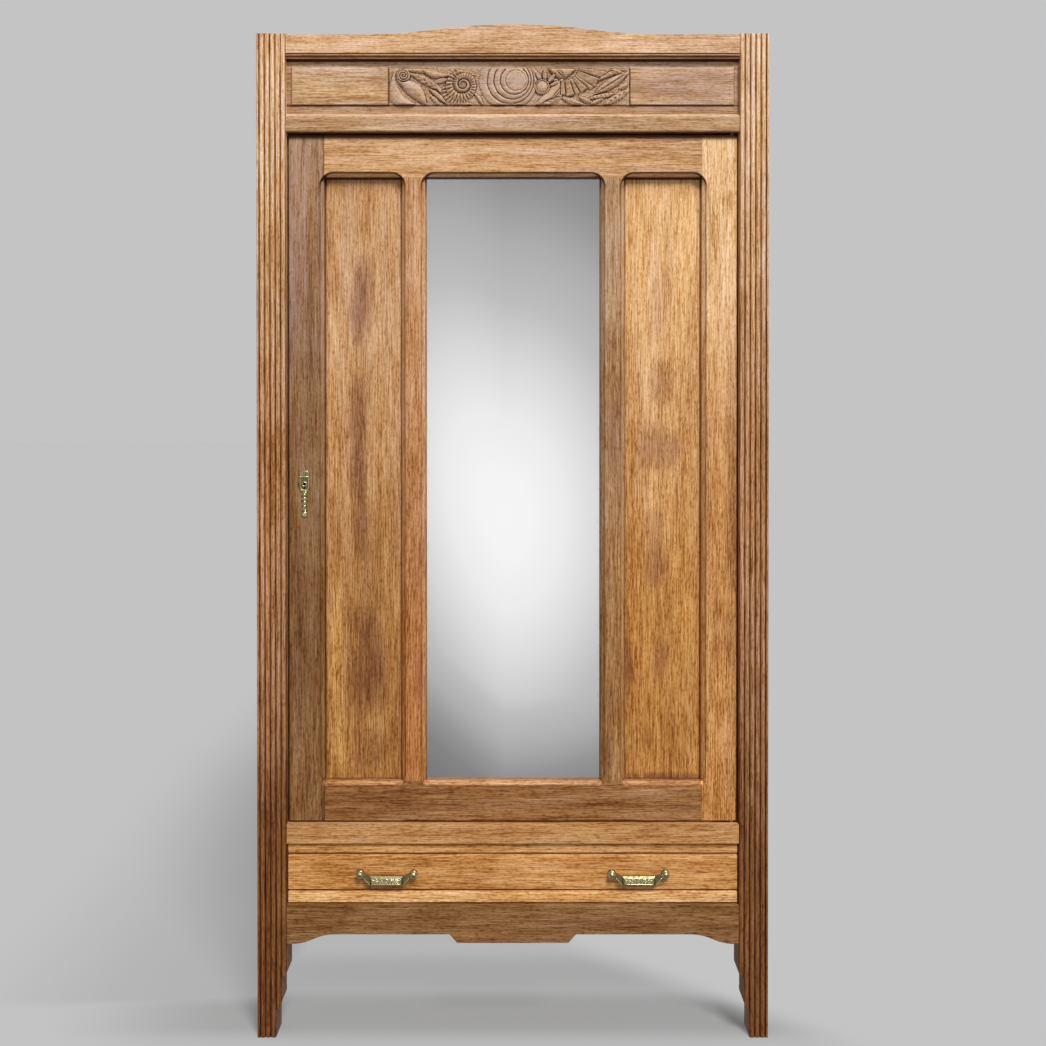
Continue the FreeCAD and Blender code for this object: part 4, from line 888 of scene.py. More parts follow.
@dataclass
class CarvedFrieze:
    """The carved panel of the frieze: a scroll, a ribbed shell, a ringed medallion, a fan and leaves."""

    step: float = 0.7
    ground: float = 0.8
    top: float = 7.6
    medallion: tuple[float, ...] = (20.0, 28.0, 37.0, 46.0, 58.0)
    crowns: tuple[float, ...] = (7.0, 6.6, 6.0, 5.2)
    drift: float = 0.42
    scroll_middle: Point = (-209.0, 21.0)
    shell_middle: Point = (-91.0, 3.0)
    medallion_middle: Point = (22.0, 11.0)
    fruit_middle: Point = (65.0, -1.0)
    name: str = "carved_frieze_relief"

    def scroll(self, x: Array, z: Array) -> tuple[Array, Array]:
        """Scroll at the left end: a spiral whose groove follows the radius plus the turn."""
        away, turn = polar(x, z, self.scroll_middle)
        groove = np.abs(np.sin(np.pi * (away / 4.6 - turn / (2 * np.pi)))) ** 0.8
        return 1.2 + 5.8 * dome(away, 16.5) * (0.2 + 0.8 * groove), away < 13.4

    def shell(self, x: Array, z: Array) -> tuple[Array, Array]:
        """Coiled shell: whorls follow the logarithm of the radius plus the turn, with ribs across them.

        Below and to the left of the last whorl stands a lower fan of ribs.
        """
        across, above = x - self.shell_middle[0], z - self.shell_middle[1]
        away = np.maximum(np.hypot(across * 0.97, above), 0.5)
        turn = np.arctan2(above, across)
        whorl = np.log(away / 3.1) / 0.74 + turn / (2 * np.pi)
        share = whorl - np.floor(whorl)
        crown = np.sin(np.pi * share) ** 0.7
        ribs = 0.5 + 0.5 * np.cos(24 * turn - 5 * np.log(away))
        strong = np.clip((away - 9) / 8, 0, 1)
        height = 1.2 + 6.0 * crown * (1 - 0.52 * strong * (1 - ribs))
        limit = 29 + 5.0 * np.cos(turn + 2.6)
        degrees = np.degrees(turn)
        skirt = limit + 13 * np.exp(-((degrees + 135) / 55) ** 2) + 6 * np.exp(-((degrees - 55) / 20) ** 2)
        pleats = 1.6 + 2.6 * (0.5 + 0.5 * np.cos(38 * turn)) * np.clip((skirt - away) / 3, 0, 1)
        return np.where(away < limit, height, pleats), away < skirt

    def medallion_height(self, x: Array, z: Array) -> tuple[Array, Array]:
        """Ringed medallion: circles whose centre drifts to the right as they shrink.

        With d the drift, and x and z taken from the middle, the ring through a point solves
        (x + d r)^2 + z^2 = r^2 for r. Each ring falls outwards like a step and ends in a groove; the
        outermost is stippled.
        """
        across, up = x - self.medallion_middle[0], z - self.medallion_middle[1]
        linear, square = 2 * self.drift * across, 1 - self.drift ** 2
        ring = (linear + np.sqrt(linear ** 2 + 4 * square * (across ** 2 + up ** 2))) / (2 * square)
        turn = np.arctan2(up, across)
        ring = ring + 0.18 * np.sin(17 * turn) * (ring > 22)
        height = 7.4 - 1.2 * (ring / 20) ** 4
        for crown, low, high in zip(self.crowns, self.medallion, self.medallion[1:]):
            share = np.clip((ring - low) / (high - low), 0, 1)
            step = crown - 2.6 * share ** 1.5 - 3.2 * (1 - share) ** 9 - 2.4 * share ** 12
            height = np.where(ring >= low, step, height)
        stipple = 0.9 * np.sin(2.0 * x + np.sin(1.4 * z)) * np.sin(1.8 * z + np.sin(1.3 * x))
        height = height + np.where((ring > 46) & (turn > 1.0), stipple, 0)
        return height, (ring < self.medallion[-1]) & (x > -61)

    def fruit(self, x: Array, z: Array) -> tuple[Array, Array]:
        """Round fruit in a beaded ring."""
        away, turn = polar(x, z, self.fruit_middle)
        core = 2.0 + 5.2 * dome(away, 12.0) + 0.4 * np.sin(1.6 * x) * np.sin(1.7 * z)
        ring = 5.4 - 3.4 * ((away - 13.2) / 2.0) ** 2 + 0.9 * np.cos(22 * turn)
        return np.where(away < 11.2, core, np.maximum(ring, 1.0)), away < 15.4

    def fan(self, x: Array, z: Array, total: Array) -> Array:
        """Broad pleats that spread from the cloth: each is a plank that tilts across its own width."""
        for start, end, narrow, wide, rise in PLANKS:
            along, across = along_line(x, z, start, end)
            across = across / (narrow + (wide - narrow) * along)
            edge = np.clip((1 - np.abs(across)) / 0.22, 0, 1) * np.clip((1 - along) / 0.06, 0, 1)
            plank = 1.0 + (rise * (0.66 + 0.26 * across) - 1.0 + 0.8 * along) * edge ** 0.6
            total = np.where((along > 0) & (along < 1) & (np.abs(across) < 1), plank, total)
        return total

    def leaves(self, x: Array, z: Array, rows: tuple, total: Array) -> Array:
        """Leaves laid over what is there, each a lens with a crowned section, a middle vein and side veins.

        Args:
            x: Columns, in millimetres from the panel's middle.
            z: Rows, likewise.
            rows: The numbers of each leaf.
            total: Height of what lies below.

        Returns:
            The height with the leaves.
        """
        stipple = np.sin(1.75 * x + np.sin(1.1 * z)) * np.sin(1.65 * z + np.sin(1.2 * x))
        for start, end, left, right, rise, vein, sides, rough in rows:
            s, share, inside = lens(x, z, start, end, left, right)
            crown = np.sin(np.pi * np.clip(share, 0, 1)) ** 0.5 * np.clip(8 * s * (1 - s), 0, 1) ** 0.5
            notch = vein * np.exp(-((share - 0.5) / 0.09) ** 2)
            ribs = 0.8 * np.sin(2 * np.pi * sides * (s + 0.3 * np.abs(share - 0.5))) if sides else 0.0
            height = 0.6 + (rise - 0.6) * crown - notch + ribs * crown + rough * stipple
            total = np.where(inside, height, total)
        return total

    def height(self, x: Array, z: Array) -> Array:
        """Height of the whole carving.

        The forms are laid over each other in order, so that each keeps its cut outline; a punched
        ground lies between them.

        Args:
            x: Columns, in millimetres from the panel's middle.
            z: Rows, likewise.

        Returns:
            Millimetres over the plaque's back.
        """
        punched = np.sin(1.25 * x + np.sin(0.7 * z)) * np.sin(1.2 * z + np.sin(0.8 * x)) > 0.2
        total = self.leaves(x, z, BEHIND, self.ground + 1.1 * punched)
        for form, inside in (self.shell(x, z), self.medallion_height(x, z)):
            total = np.where(inside, form, total)
        total = self.fan(x, z, self.leaves(x, z, CLOTH, total))
        total = self.leaves(x, z, FRONT, total)
        for form, inside in (self.fruit(x, z), self.scroll(x, z)):
            total = np.where(inside, form, total)
        tools = np.random.default_rng(7).normal(0, 1, x.shape)
        return np.clip(total + 0.5 * blurred(tools, 2), 0.4, self.top)

    def build(self, finish: Material) -> Piece:
        """Makes the carved panel in the place of its plain solid.

        Args:
            finish: The oak it is carved from.

        Returns:
            The new piece.
        """
        low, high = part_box("frieze_carving")
        width, tall = (high.x - low.x) / MM, (high.z - low.z) / MM
        columns = np.linspace(-width / 2, width / 2, int(width / self.step))
        rows = np.linspace(-tall / 2, tall / 2, int(tall / self.step))
        x, z = np.meshgrid(columns, rows)
        margin = np.minimum.reduce([x + width / 2, width / 2 - x, z + tall / 2, tall / 2 - z])
        height = blurred(self.height(x, z), 1) * np.clip((margin - 0.6) / 1.2, 0.1, 1)
        piece = relief_piece(self.name, columns * MM + (low.x + high.x) / 2, rows * MM + (low.z + high.z) / 2,
                             height * MM, high.y, 1.0 * MM, 9)
        settle(piece, "case", finish)
        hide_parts("frieze_carving")
        return piece


# ---------------------------------------------------------------------------- sub-assemblies
def dress(nodes: Sequence[str], finish: Material) -> None:
    """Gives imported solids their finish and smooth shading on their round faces."""
    for name in nodes:
        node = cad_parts[name]
        node.data.polygons.foreach_set("use_smooth", [True] * len(node.data.polygons))
        if not node.data.materials:
            node.data.materials.append(finish)
        for slot in node.material_slots:
            slot.material = finish
    LOG.info("%s: %s", finish.name, ", ".join(nodes))


def both(name: str) -> tuple[str, str]:
    """Names of the left and right one of a pair."""
    return name + "_left", name + "_right"


PALE = WoodFinish("pale_inner_wood", (186, 150, 104), Grain.ACROSS, (196, 160, 114),
                  figure=0.5, pore=0.12, fleck=0.0, roughness=0.62, seed=20.3)
FIELD_HEIGHT = (1.843, 1.917)
# Finish of the boards of the case, by their nodes; their tones run from the light crest to the dark apron,
# partly as painted light from above and partly as the wood's own tone.
BOARDS: dict[tuple[str, ...], WoodFinish] = {
    ("crest_rail",): WoodFinish("oak_crest", (219, 176, 136), Grain.ACROSS, seed=5.2),
    # The moulding's seams are painted shade in the quirks between its beads and under it.
    ("crest_moulding",): WoodFinish(
        "oak_moulding", (165, 122, 85), Grain.ACROSS, seed=5.9,
        seams=(Seam(2, 1.943, 0.0026, 0.9), Seam(2, 1.9355, 0.0020, 0.85), Seam(2, 1.931, 0.0026, 0.9))),
    # Its dark seams are painted shade under the moulding, on the ground and round the raised fields; the pale
    # ones are painted light under the moulding and a painted highlight on the fields' top edges.
    ("frieze_board",): WoodFinish(
        "oak_frieze", (201, 164, 129), Grain.ACROSS, seed=6.6,
        seams=(Seam(2, 1.8425, 0.0026, 0.75), Seam(1, -0.2238, 0.0032, 0.30), Seam(2, 1.9305, 0.0026, 0.9),
               Seam(2, 1.9245, 0.0090, -0.6), Seam(2, 1.9178, 0.0020, -0.4),
               *(Seam(0, at, width, strength, FIELD_HEIGHT) for at, width, strength in (
                   (0.4375, 0.0016, 0.35), (-0.4375, 0.0016, 0.35), (-0.2455, 0.0020, 0.6),
                   (0.2315, 0.0020, 0.6)))),
        smudges=smudges_at((-0.35, 1.88, 0.10, 0.04, -0.16), (0.34, 1.88, 0.12, 0.05, 0.26))),
    # The pale seam is a painted highlight on its top chamfer, the dark one painted shade along its lower
    # edge.
    ("frieze_rail",): WoodFinish(
        "oak_frieze_rail", (192, 154, 116), Grain.ACROSS, seed=8.4,
        seams=(Seam(2, 1.8215, 0.0060, -0.4), Seam(2, 1.790, 0.0030, 0.6))),
    ("waist_rail",): WoodFinish("oak_waist", (184, 134, 83), Grain.ACROSS, dash=2.0, line=2.0, seed=9.9),
    ("apron",): WoodFinish("oak_apron", (132, 92, 51), Grain.ACROSS, seed=12.5),
    both("side_panel"): WoodFinish("oak_side", (140, 98, 62), Grain.UPRIGHT, (176, 134, 94), seed=14.2),
    both("side_top_rail") + both("side_bottom_rail"): WoodFinish(
        "oak_side_rail", (140, 98, 62), Grain.DEEP, (176, 134, 94), seed=15.8),
    ("top_board", "floor_board", "shelf_lower", "shelf_middle", "shelf_upper", "back_top_rail",
     "back_bottom_rail"): PALE,
    both("floor_bearer") + both("drawer_runner") + ("shelf_battens",): replace(
        PALE, name="pale_inner_wood_deep", low=(180, 144, 100), high=(190, 154, 110), grain=Grain.DEEP,
        figure=0.4, seed=22.9),
    ("back_muntin", "door_stop") + both("back_panel"): replace(
        PALE, name="pale_inner_wood_upright", low=(168, 132, 90), high=(182, 146, 102), grain=Grain.UPRIGHT,
        figure=0.6, roughness=0.66, seed=24.4)}


@dataclass
class Case:
    """The standing case: posts, rails, frieze, boards and shelves."""

    frieze: CarvedFrieze = field(default_factory=CarvedFrieze)
    # The carving's hollows get painted shade through its hollow share.
    carved: WoodFinish = WoodFinish("oak_carved", (195, 162, 134), Grain.ACROSS,
                                    band=0.6, streak=0.8, dash=1.8, line=1.6, hollow=1.25, seed=3.1)
    post: WoodFinish = WoodFinish("oak_post", (121, 76, 36), Grain.UPRIGHT, (229, 190, 152),
                                  (186, 139, 99), z_low=0.25, z_high=1.95, blotch=1.5, seed=1.3)
    reed_count: int = 5
    corner_reed: float = 0.0055
    screw_inset: Point = (0.024, 0.014)
    screw_y: Point = (-0.12, 0.12)
    screw_slot: float = 0.0005

    def build(self, steel: Material) -> None:
        """Dresses the case, then adds its carving and its screws.

        Args:
            steel: Finish of the screws.
        """
        self.posts()
        for nodes, finish in BOARDS.items():
            dress(nodes, finish.build())
        dress(("strike_plate", "case_pivots"), steel)
        carved = self.carved.build()
        dress(("frieze_carving",), carved)
        self.frieze.build(carved)
        self.screws(steel)

    def posts(self) -> None:
        """Dresses the four posts; each front one has its own lines of painted shade between the reeds."""
        dress(both("back_post"), replace(self.post, name="oak_back_post").build())
        for name, side in zip(both("front_post"), (-1, 1)):
            low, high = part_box(name)
            pitch = (high.x - low.x - self.corner_reed) / self.reed_count
            reeds = Reeds(low.x if side > 0 else high.x, pitch, low.y)
            finish = replace(self.post, name=f"oak_{name}", reeds=(reeds,), seed=self.post.seed + side)
            dress((name,), finish.build())

    def screws(self, steel: Material) -> None:
        """Adds the screws of the battens, two at each of three levels on each side."""
        low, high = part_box("shelf_battens")
        inward, inset = self.screw_inset
        levels = (low.z + inset, (low.z + high.z) / 2, high.z - inset)
        for name, x, way in zip(both("batten_screws"), (low.x + inward, high.x - inward), (1, -1)):
            seats = np.array([(x, y, z) for z in levels for y in self.screw_y])
            piece = turned_piece(name, SCREW, seats, (way, 0, 0), 16, self.screw_slot)
            settle(piece, "case", steel)


LEFT = Opening(-0.2975, 1.103, 0.0755, 0.599)
MIDDLE = Opening(0.0005, 1.103, 0.1725, 0.599)
RIGHT = Opening(0.2985, 1.103, 0.0755, 0.599)
DOOR_FACE = -0.222
# Painted shadow that the frieze rail casts on the top of the door.
DOOR_SHADE = Seam(2, 1.787, 0.014, 0.94, front=DOOR_FACE)
# Finish of each wooden part of the door, by its node; all of them get the painted shadow of the frieze rail.
DOOR_WOOD: dict[str, WoodFinish] = {
    "door_stile_lock": WoodFinish(
        "oak_lock_stile", (126, 87, 48), Grain.UPRIGHT, (169, 131, 100), z_low=0.9, z_high=1.8,
        band=1.8, blush=0.7, seed=31.0, openings=(LEFT,),
        # Painted shade in the gap beside the post and at the chamfer's outer edge.
        seams=(Seam(0, -0.4455, 0.0048, 0.9, front=DOOR_FACE), Seam(0, -0.3735, 0.0018, 0.5)),
        smudges=smudges_at((-0.42, 1.45, 0.03, 0.16, 0.20), (-0.41, 0.75, 0.03, 0.12, 0.12))),
    "door_stile_hinge": WoodFinish(
        "oak_hinge_stile", (194, 137, 78), Grain.UPRIGHT, (237, 193, 140), z_low=0.95, z_high=1.75,
        band=0.8, blotch=0.8, seed=33.7, openings=(RIGHT,),
        # Painted shade in the gap beside the post and at the chamfer's outer edge.
        seams=(Seam(0, 0.4465, 0.0044, 0.85, front=DOOR_FACE), Seam(0, 0.3745, 0.0016, 0.4)),
        smudges=smudges_at(
            (0.432, 1.26, 0.012, 0.10, 0.18), (0.433, 1.13, 0.016, 0.10, 0.25),
            (0.434, 0.98, 0.014, 0.11, 0.28), (0.434, 0.78, 0.016, 0.07, 0.28),
            (0.432, 0.58, 0.014, 0.12, 0.15))),
    "door_top_rail": WoodFinish(
        "oak_door_top", (208, 162, 117), Grain.ACROSS, wave=0.03, figure=0.6, seed=36.1,
        openings=(LEFT, MIDDLE, RIGHT)),
    "door_bottom_rail": WoodFinish(
        "oak_door_bottom", (147, 100, 57), Grain.ACROSS, band=1.9, seed=38.5,
        openings=(LEFT, MIDDLE, RIGHT)),
    "door_muntin_left": WoodFinish(
        "oak_muntin_left", (171, 111, 57), Grain.UPRIGHT, (199, 149, 105), z_low=0.6, z_high=1.7,
        seed=40.2, openings=(LEFT, MIDDLE),
        smudges=smudges_at((-0.185, 0.72, 0.010, 0.09, 0.35), (-0.205, 0.92, 0.008, 0.12, -0.14))),
    "door_muntin_right": WoodFinish(
        "oak_muntin_right", (155, 109, 61), Grain.UPRIGHT, (181, 144, 109), z_low=0.6,
        z_high=1.75, blush=0.7, seed=42.8, openings=(MIDDLE, RIGHT),
        smudges=smudges_at(
            (0.196, 1.19, 0.014, 0.07, 0.28), (0.194, 1.36, 0.014, 0.05, 0.14),
            (0.188, 0.55, 0.014, 0.05, 0.30), (0.196, 0.65, 0.014, 0.04, 0.20))),
    "door_panel_left": WoodFinish(
        "veneer_left", (159, 108, 53), Grain.UPRIGHT, (192, 145, 100), z_low=0.6, z_high=1.65,
        band=1.2, blotch=0.9, seed=45.5, openings=(LEFT,),
        smudges=smudges_at(
            (-0.307, 1.43, 0.026, 0.07, 0.49), (-0.296, 1.51, 0.022, 0.05, 0.31),
            (-0.309, 1.23, 0.021, 0.09, 0.45), (-0.310, 1.12, 0.020, 0.06, 0.39),
            (-0.302, 1.00, 0.018, 0.07, 0.39), (-0.298, 0.82, 0.032, 0.05, 0.39),
            (-0.288, 0.72, 0.046, 0.10, 0.53), (-0.286, 0.57, 0.038, 0.05, 0.35),
            (-0.358, 1.26, 0.011, 0.28, -0.25), (-0.352, 0.78, 0.013, 0.22, -0.39),
            (-0.346, 0.58, 0.020, 0.06, -0.28))),
    "door_panel_right": WoodFinish(
        "veneer_right", (175, 119, 58), Grain.UPRIGHT, (218, 169, 114), z_low=0.75, z_high=1.65,
        band=1.1, blotch=0.9, seed=47.3, openings=(RIGHT,),
        smudges=smudges_at(
            (0.296, 1.45, 0.024, 0.09, 0.23), (0.300, 1.295, 0.028, 0.05, 0.39),
            (0.288, 1.166, 0.044, 0.05, 0.39), (0.280, 1.011, 0.022, 0.04, 0.25),
            (0.285, 0.934, 0.026, 0.05, 0.35), (0.293, 0.741, 0.017, 0.06, 0.45),
            (0.229, 0.725, 0.011, 0.06, 0.51), (0.273, 0.584, 0.007, 0.03, 0.35),
            (0.298, 0.508, 0.090, 0.010, 0.55), (0.341, 0.902, 0.019, 0.17, -0.19)))}


@dataclass
class Door:
    """The door: frame, veneered panels, mirror, lock and key plate."""

    key: Point = (-0.4125, 1.0945)
    key_bead: Point = (0.0082, 0.0185)
    key_bars: tuple[Point, ...] = ((0.0085, 0.0145), (0.0072, -0.0135), (0.0050, -0.0170), (0.0040, -0.0515))
    key_balls: tuple[float, ...] = (0.0215, 0.0290, 0.0365, 0.0440)
    key_leaf: tuple[float, float, float] = (7.0, 15.6, 25.2)
    lock_inset: float = 0.008
    mirror_inset: float = 0.007
    backing: WoodFinish = WoodFinish("backing_board", (150, 116, 80), Grain.UPRIGHT, roughness=0.7, seed=50.0)

    def build(self, brass: Material, shaded: Material, steel: Material) -> None:
        """Dresses the door and adds the ornament of its key plate and its screws.

        Args:
            brass: Finish of the ornament.
            shaded: Finish of the key plate under it.
            steel: Finish of the lock and the screws.
        """
        for node, finish in DOOR_WOOD.items():
            dress((node,), replace(finish, seams=(*finish.seams, DOOR_SHADE)).build())
        dress(("mirror_backboard", "door_beads"), self.backing.build())
        low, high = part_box("mirror_glass")
        inset = self.mirror_inset
        mirror = MirrorFinish("silvered_glass", low.x + inset, high.x - inset, low.z + inset, high.z - inset)
        dress(("mirror_glass",), mirror.build())
        dress(("lock_case", "lock_bolt", "door_pivot_plates"), steel)
        dress(("escutcheon",), shaded)
        self.key_plate(brass)
        low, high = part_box("lock_case")
        inset = self.lock_inset
        seats = np.array([(x, high.y - 0.0004, z) for x in (low.x + inset, high.x - inset)
                          for z in (low.z + inset, high.z - inset)])
        settle(turned_piece("lock_screws", LOCK_SCREW, seats, (0, 1, 0), 16), "door", steel)

    def key_plate(self, brass: Material) -> None:
        """Adds the ornament of the key plate: a bead round its head, bars, balls, a drop and a leaf.

        The head's bead follows a rectangle with rounded corners, the power 2/5 of a circle's two shares.
        The leaf is a fan of ribs that spread upwards, highest in its middle.

        Args:
            brass: Finish.
        """
        x, z = self.key
        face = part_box("escutcheon")[0].y + 0.0008
        turn = np.linspace(0, 2 * np.pi, 48, endpoint=False)
        across, above = (np.sign(share) * np.abs(share) ** 0.4 for share in (np.cos(turn), np.sin(turn)))
        wide, tall = self.key_bead
        outline = np.stack([x + wide * across, np.full(48, face), z + 0.007 + tall * above], axis=1)
        bars = [level_line(x, half, 7, face, z + rise) for half, rise in self.key_bars]
        balls = np.array([(x, face + 0.0004, z - drop) for drop in self.key_balls])
        half, low, high = self.key_leaf
        leaf_x, leaf_z = np.linspace(-half, half, 36), np.linspace(low, high, 25)
        grid_x, grid_z = np.meshgrid(leaf_x, leaf_z)
        ribs = np.cos(2 * np.pi * grid_x / (2.6 + 0.12 * (grid_z - low)))
        rise = 0.5 + (0.5 + 0.5 * ribs) * np.clip(1.25 - (grid_x / half) ** 2, 0.1, 1)
        for piece in (
                bead_piece("key_plate_bead", [outline, circle((x, face, z), 0.0042, 20)], 0.0011, FRONTWARD),
                bead_piece("key_plate_bars", bars, 0.0012, FRONTWARD, False),
                turned_piece("key_plate_balls", BALL, balls, FRONTWARD, 16),
                turned_piece("key_plate_drop", ROSETTE, np.array([(x, face + 0.0004, z - 0.0600)]),
                             FRONTWARD, 20),
                relief_piece("key_plate_leaf", leaf_x * MM + x, leaf_z * MM + z, rise * MM,
                             face + 0.0002, 0.4 * MM, 4)):
            settle(piece, "door", brass)


# Each leaf of a grip: its two tips and its bulge to the left and right.
GRIP_LEAVES = (((4, -4), (13, 4), 1.8, 2.4), ((9, -5), (19, 2), 1.6, 2.2), ((8, 5), (17, -3), 2.0, 1.4),
               ((15, -5), (25, 3), 1.8, 2.4), ((17, 5), (27, -2), 2.0, 1.6), ((22, -4), (28, 4), 1.8, 1.8))


@dataclass
class Drawer:
    """The drawer and its two drop pulls."""

    front: WoodFinish = WoodFinish(
        "oak_drawer_front", (221, 169, 110), Grain.ACROSS, (196, 140, 80), z_low=0.283, z_high=0.295,
        figure=0.6, wave=0.03, dash=2.0, line=2.2, seed=61.4,
        # The seams are painted shade in the two grooves.
        seams=(Seam(2, 0.3618, 0.0036, 0.6), Seam(2, 0.2893, 0.0036, 0.6)))
    box_wood: WoodFinish = replace(PALE, name="pale_drawer_wood", low=(190, 154, 108), high=None,
                                   grain=Grain.DEEP, figure=0.4, seed=63.3)
    bottom_wood: WoodFinish = replace(PALE, name="pale_drawer_bottom", low=(184, 148, 104), high=None,
                                      figure=0.4, seed=65.9)
    pull_x: float = 0.249
    pull_z: float = 0.323
    boss_x: float = 0.053
    grip_z: Point = (0.3055, 0.3180)

    def build(self, brass: Material, shaded: Material) -> None:
        """Dresses the drawer and adds the ornament of its pulls.

        Args:
            brass: Finish of the ornament.
            shaded: Finish of the pulls under it.
        """
        dress(("drawer_front",), self.front.build())
        dress(both("drawer_side"), self.box_wood.build())
        dress(("drawer_back", "drawer_bottom"), self.bottom_wood.build())
        dress(("pull_bosses",) + both("pull_bail"), shaded)
        for side, name in zip((-1, 1), both("bail")):
            self.grip(name, side * self.pull_x, brass)
        boss_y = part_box("pull_bosses")[0].y
        rings = [circle((side * self.pull_x + end * self.boss_x, boss_y + deep, self.pull_z), radius)
                 for side in (-1, 1) for end in (-1, 1)
                 for deep, radius in ((0.0022, 0.0050), (0.0062, 0.0068), (0.0115, 0.0062))]
        settle(bead_piece("boss_rings", rings, 0.0009, FRONTWARD), "drawer", brass)

    def foliage(self, x: Array, z: Array) -> Array:
        """Height of the foliage of a grip, in millimetres.

        It is a spray of slanting leaves to each side of a ringed knot: each leaf is a lens between two
        tips with a crowned section, laid over the one before.

        Args:
            x: Columns, in millimetres from the grip's middle.
            z: Rows, likewise.

        Returns:
            The height.
        """
        height = np.full_like(x, 0.35)
        for way in (-1, 1):
            for start, end, left, right in GRIP_LEAVES:
                _, share, inside = lens(way * x, z, start, end, left, right)
                crown = 0.4 + 1.3 * np.sin(np.pi * np.clip(share, 0, 1)) ** 0.6
                height = np.where(inside, crown, height)
        away = np.hypot(x, z)
        knot = 0.7 + 0.9 * np.abs(np.cos(np.pi * away / 3.6)) ** 0.7
        return blurred(np.where(away < 4.9, knot, height), 1)

    def grip(self, body: str, middle: float, brass: Material) -> None:
        """Adds the foliage of one grip between two beads along its edges, and a bead on each arm.

        Args:
            body: Body the grip swings with.
            middle: X of the grip's middle.
            brass: Finish.
        """
        low, high = self.grip_z
        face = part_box(f"pull_{body}")[0].y
        name = body.removeprefix("bail_")
        xs, zs = np.linspace(-28.5, 28.5, 172), np.linspace(-5.6, 5.6, 36)
        height = self.foliage(*np.meshgrid(xs, zs)) * MM
        plaque = relief_piece(f"grip_foliage_{name}", xs * MM + middle, zs * MM + (low + high) / 2, height,
                              face + 0.0003, 0.45 * MM, 5)
        settle(plaque, body, brass)
        beads = [level_line(middle, 0.0305, 12, face + 0.0002, z) for z in (low + 0.0004, high - 0.0004)]
        along = np.linspace(0, 1, 10)[:, None]
        beads += [np.array((middle + way * 0.0318, face + 0.0008, low - 0.0022)) * (1 - along)
                  + np.array((middle + way * 0.0456, face + 0.0019, low + 0.0130)) * along
                  for way in (-1, 1)]
        settle(bead_piece(f"grip_beads_{name}", beads, 0.0009, FRONTWARD, False), body, brass)


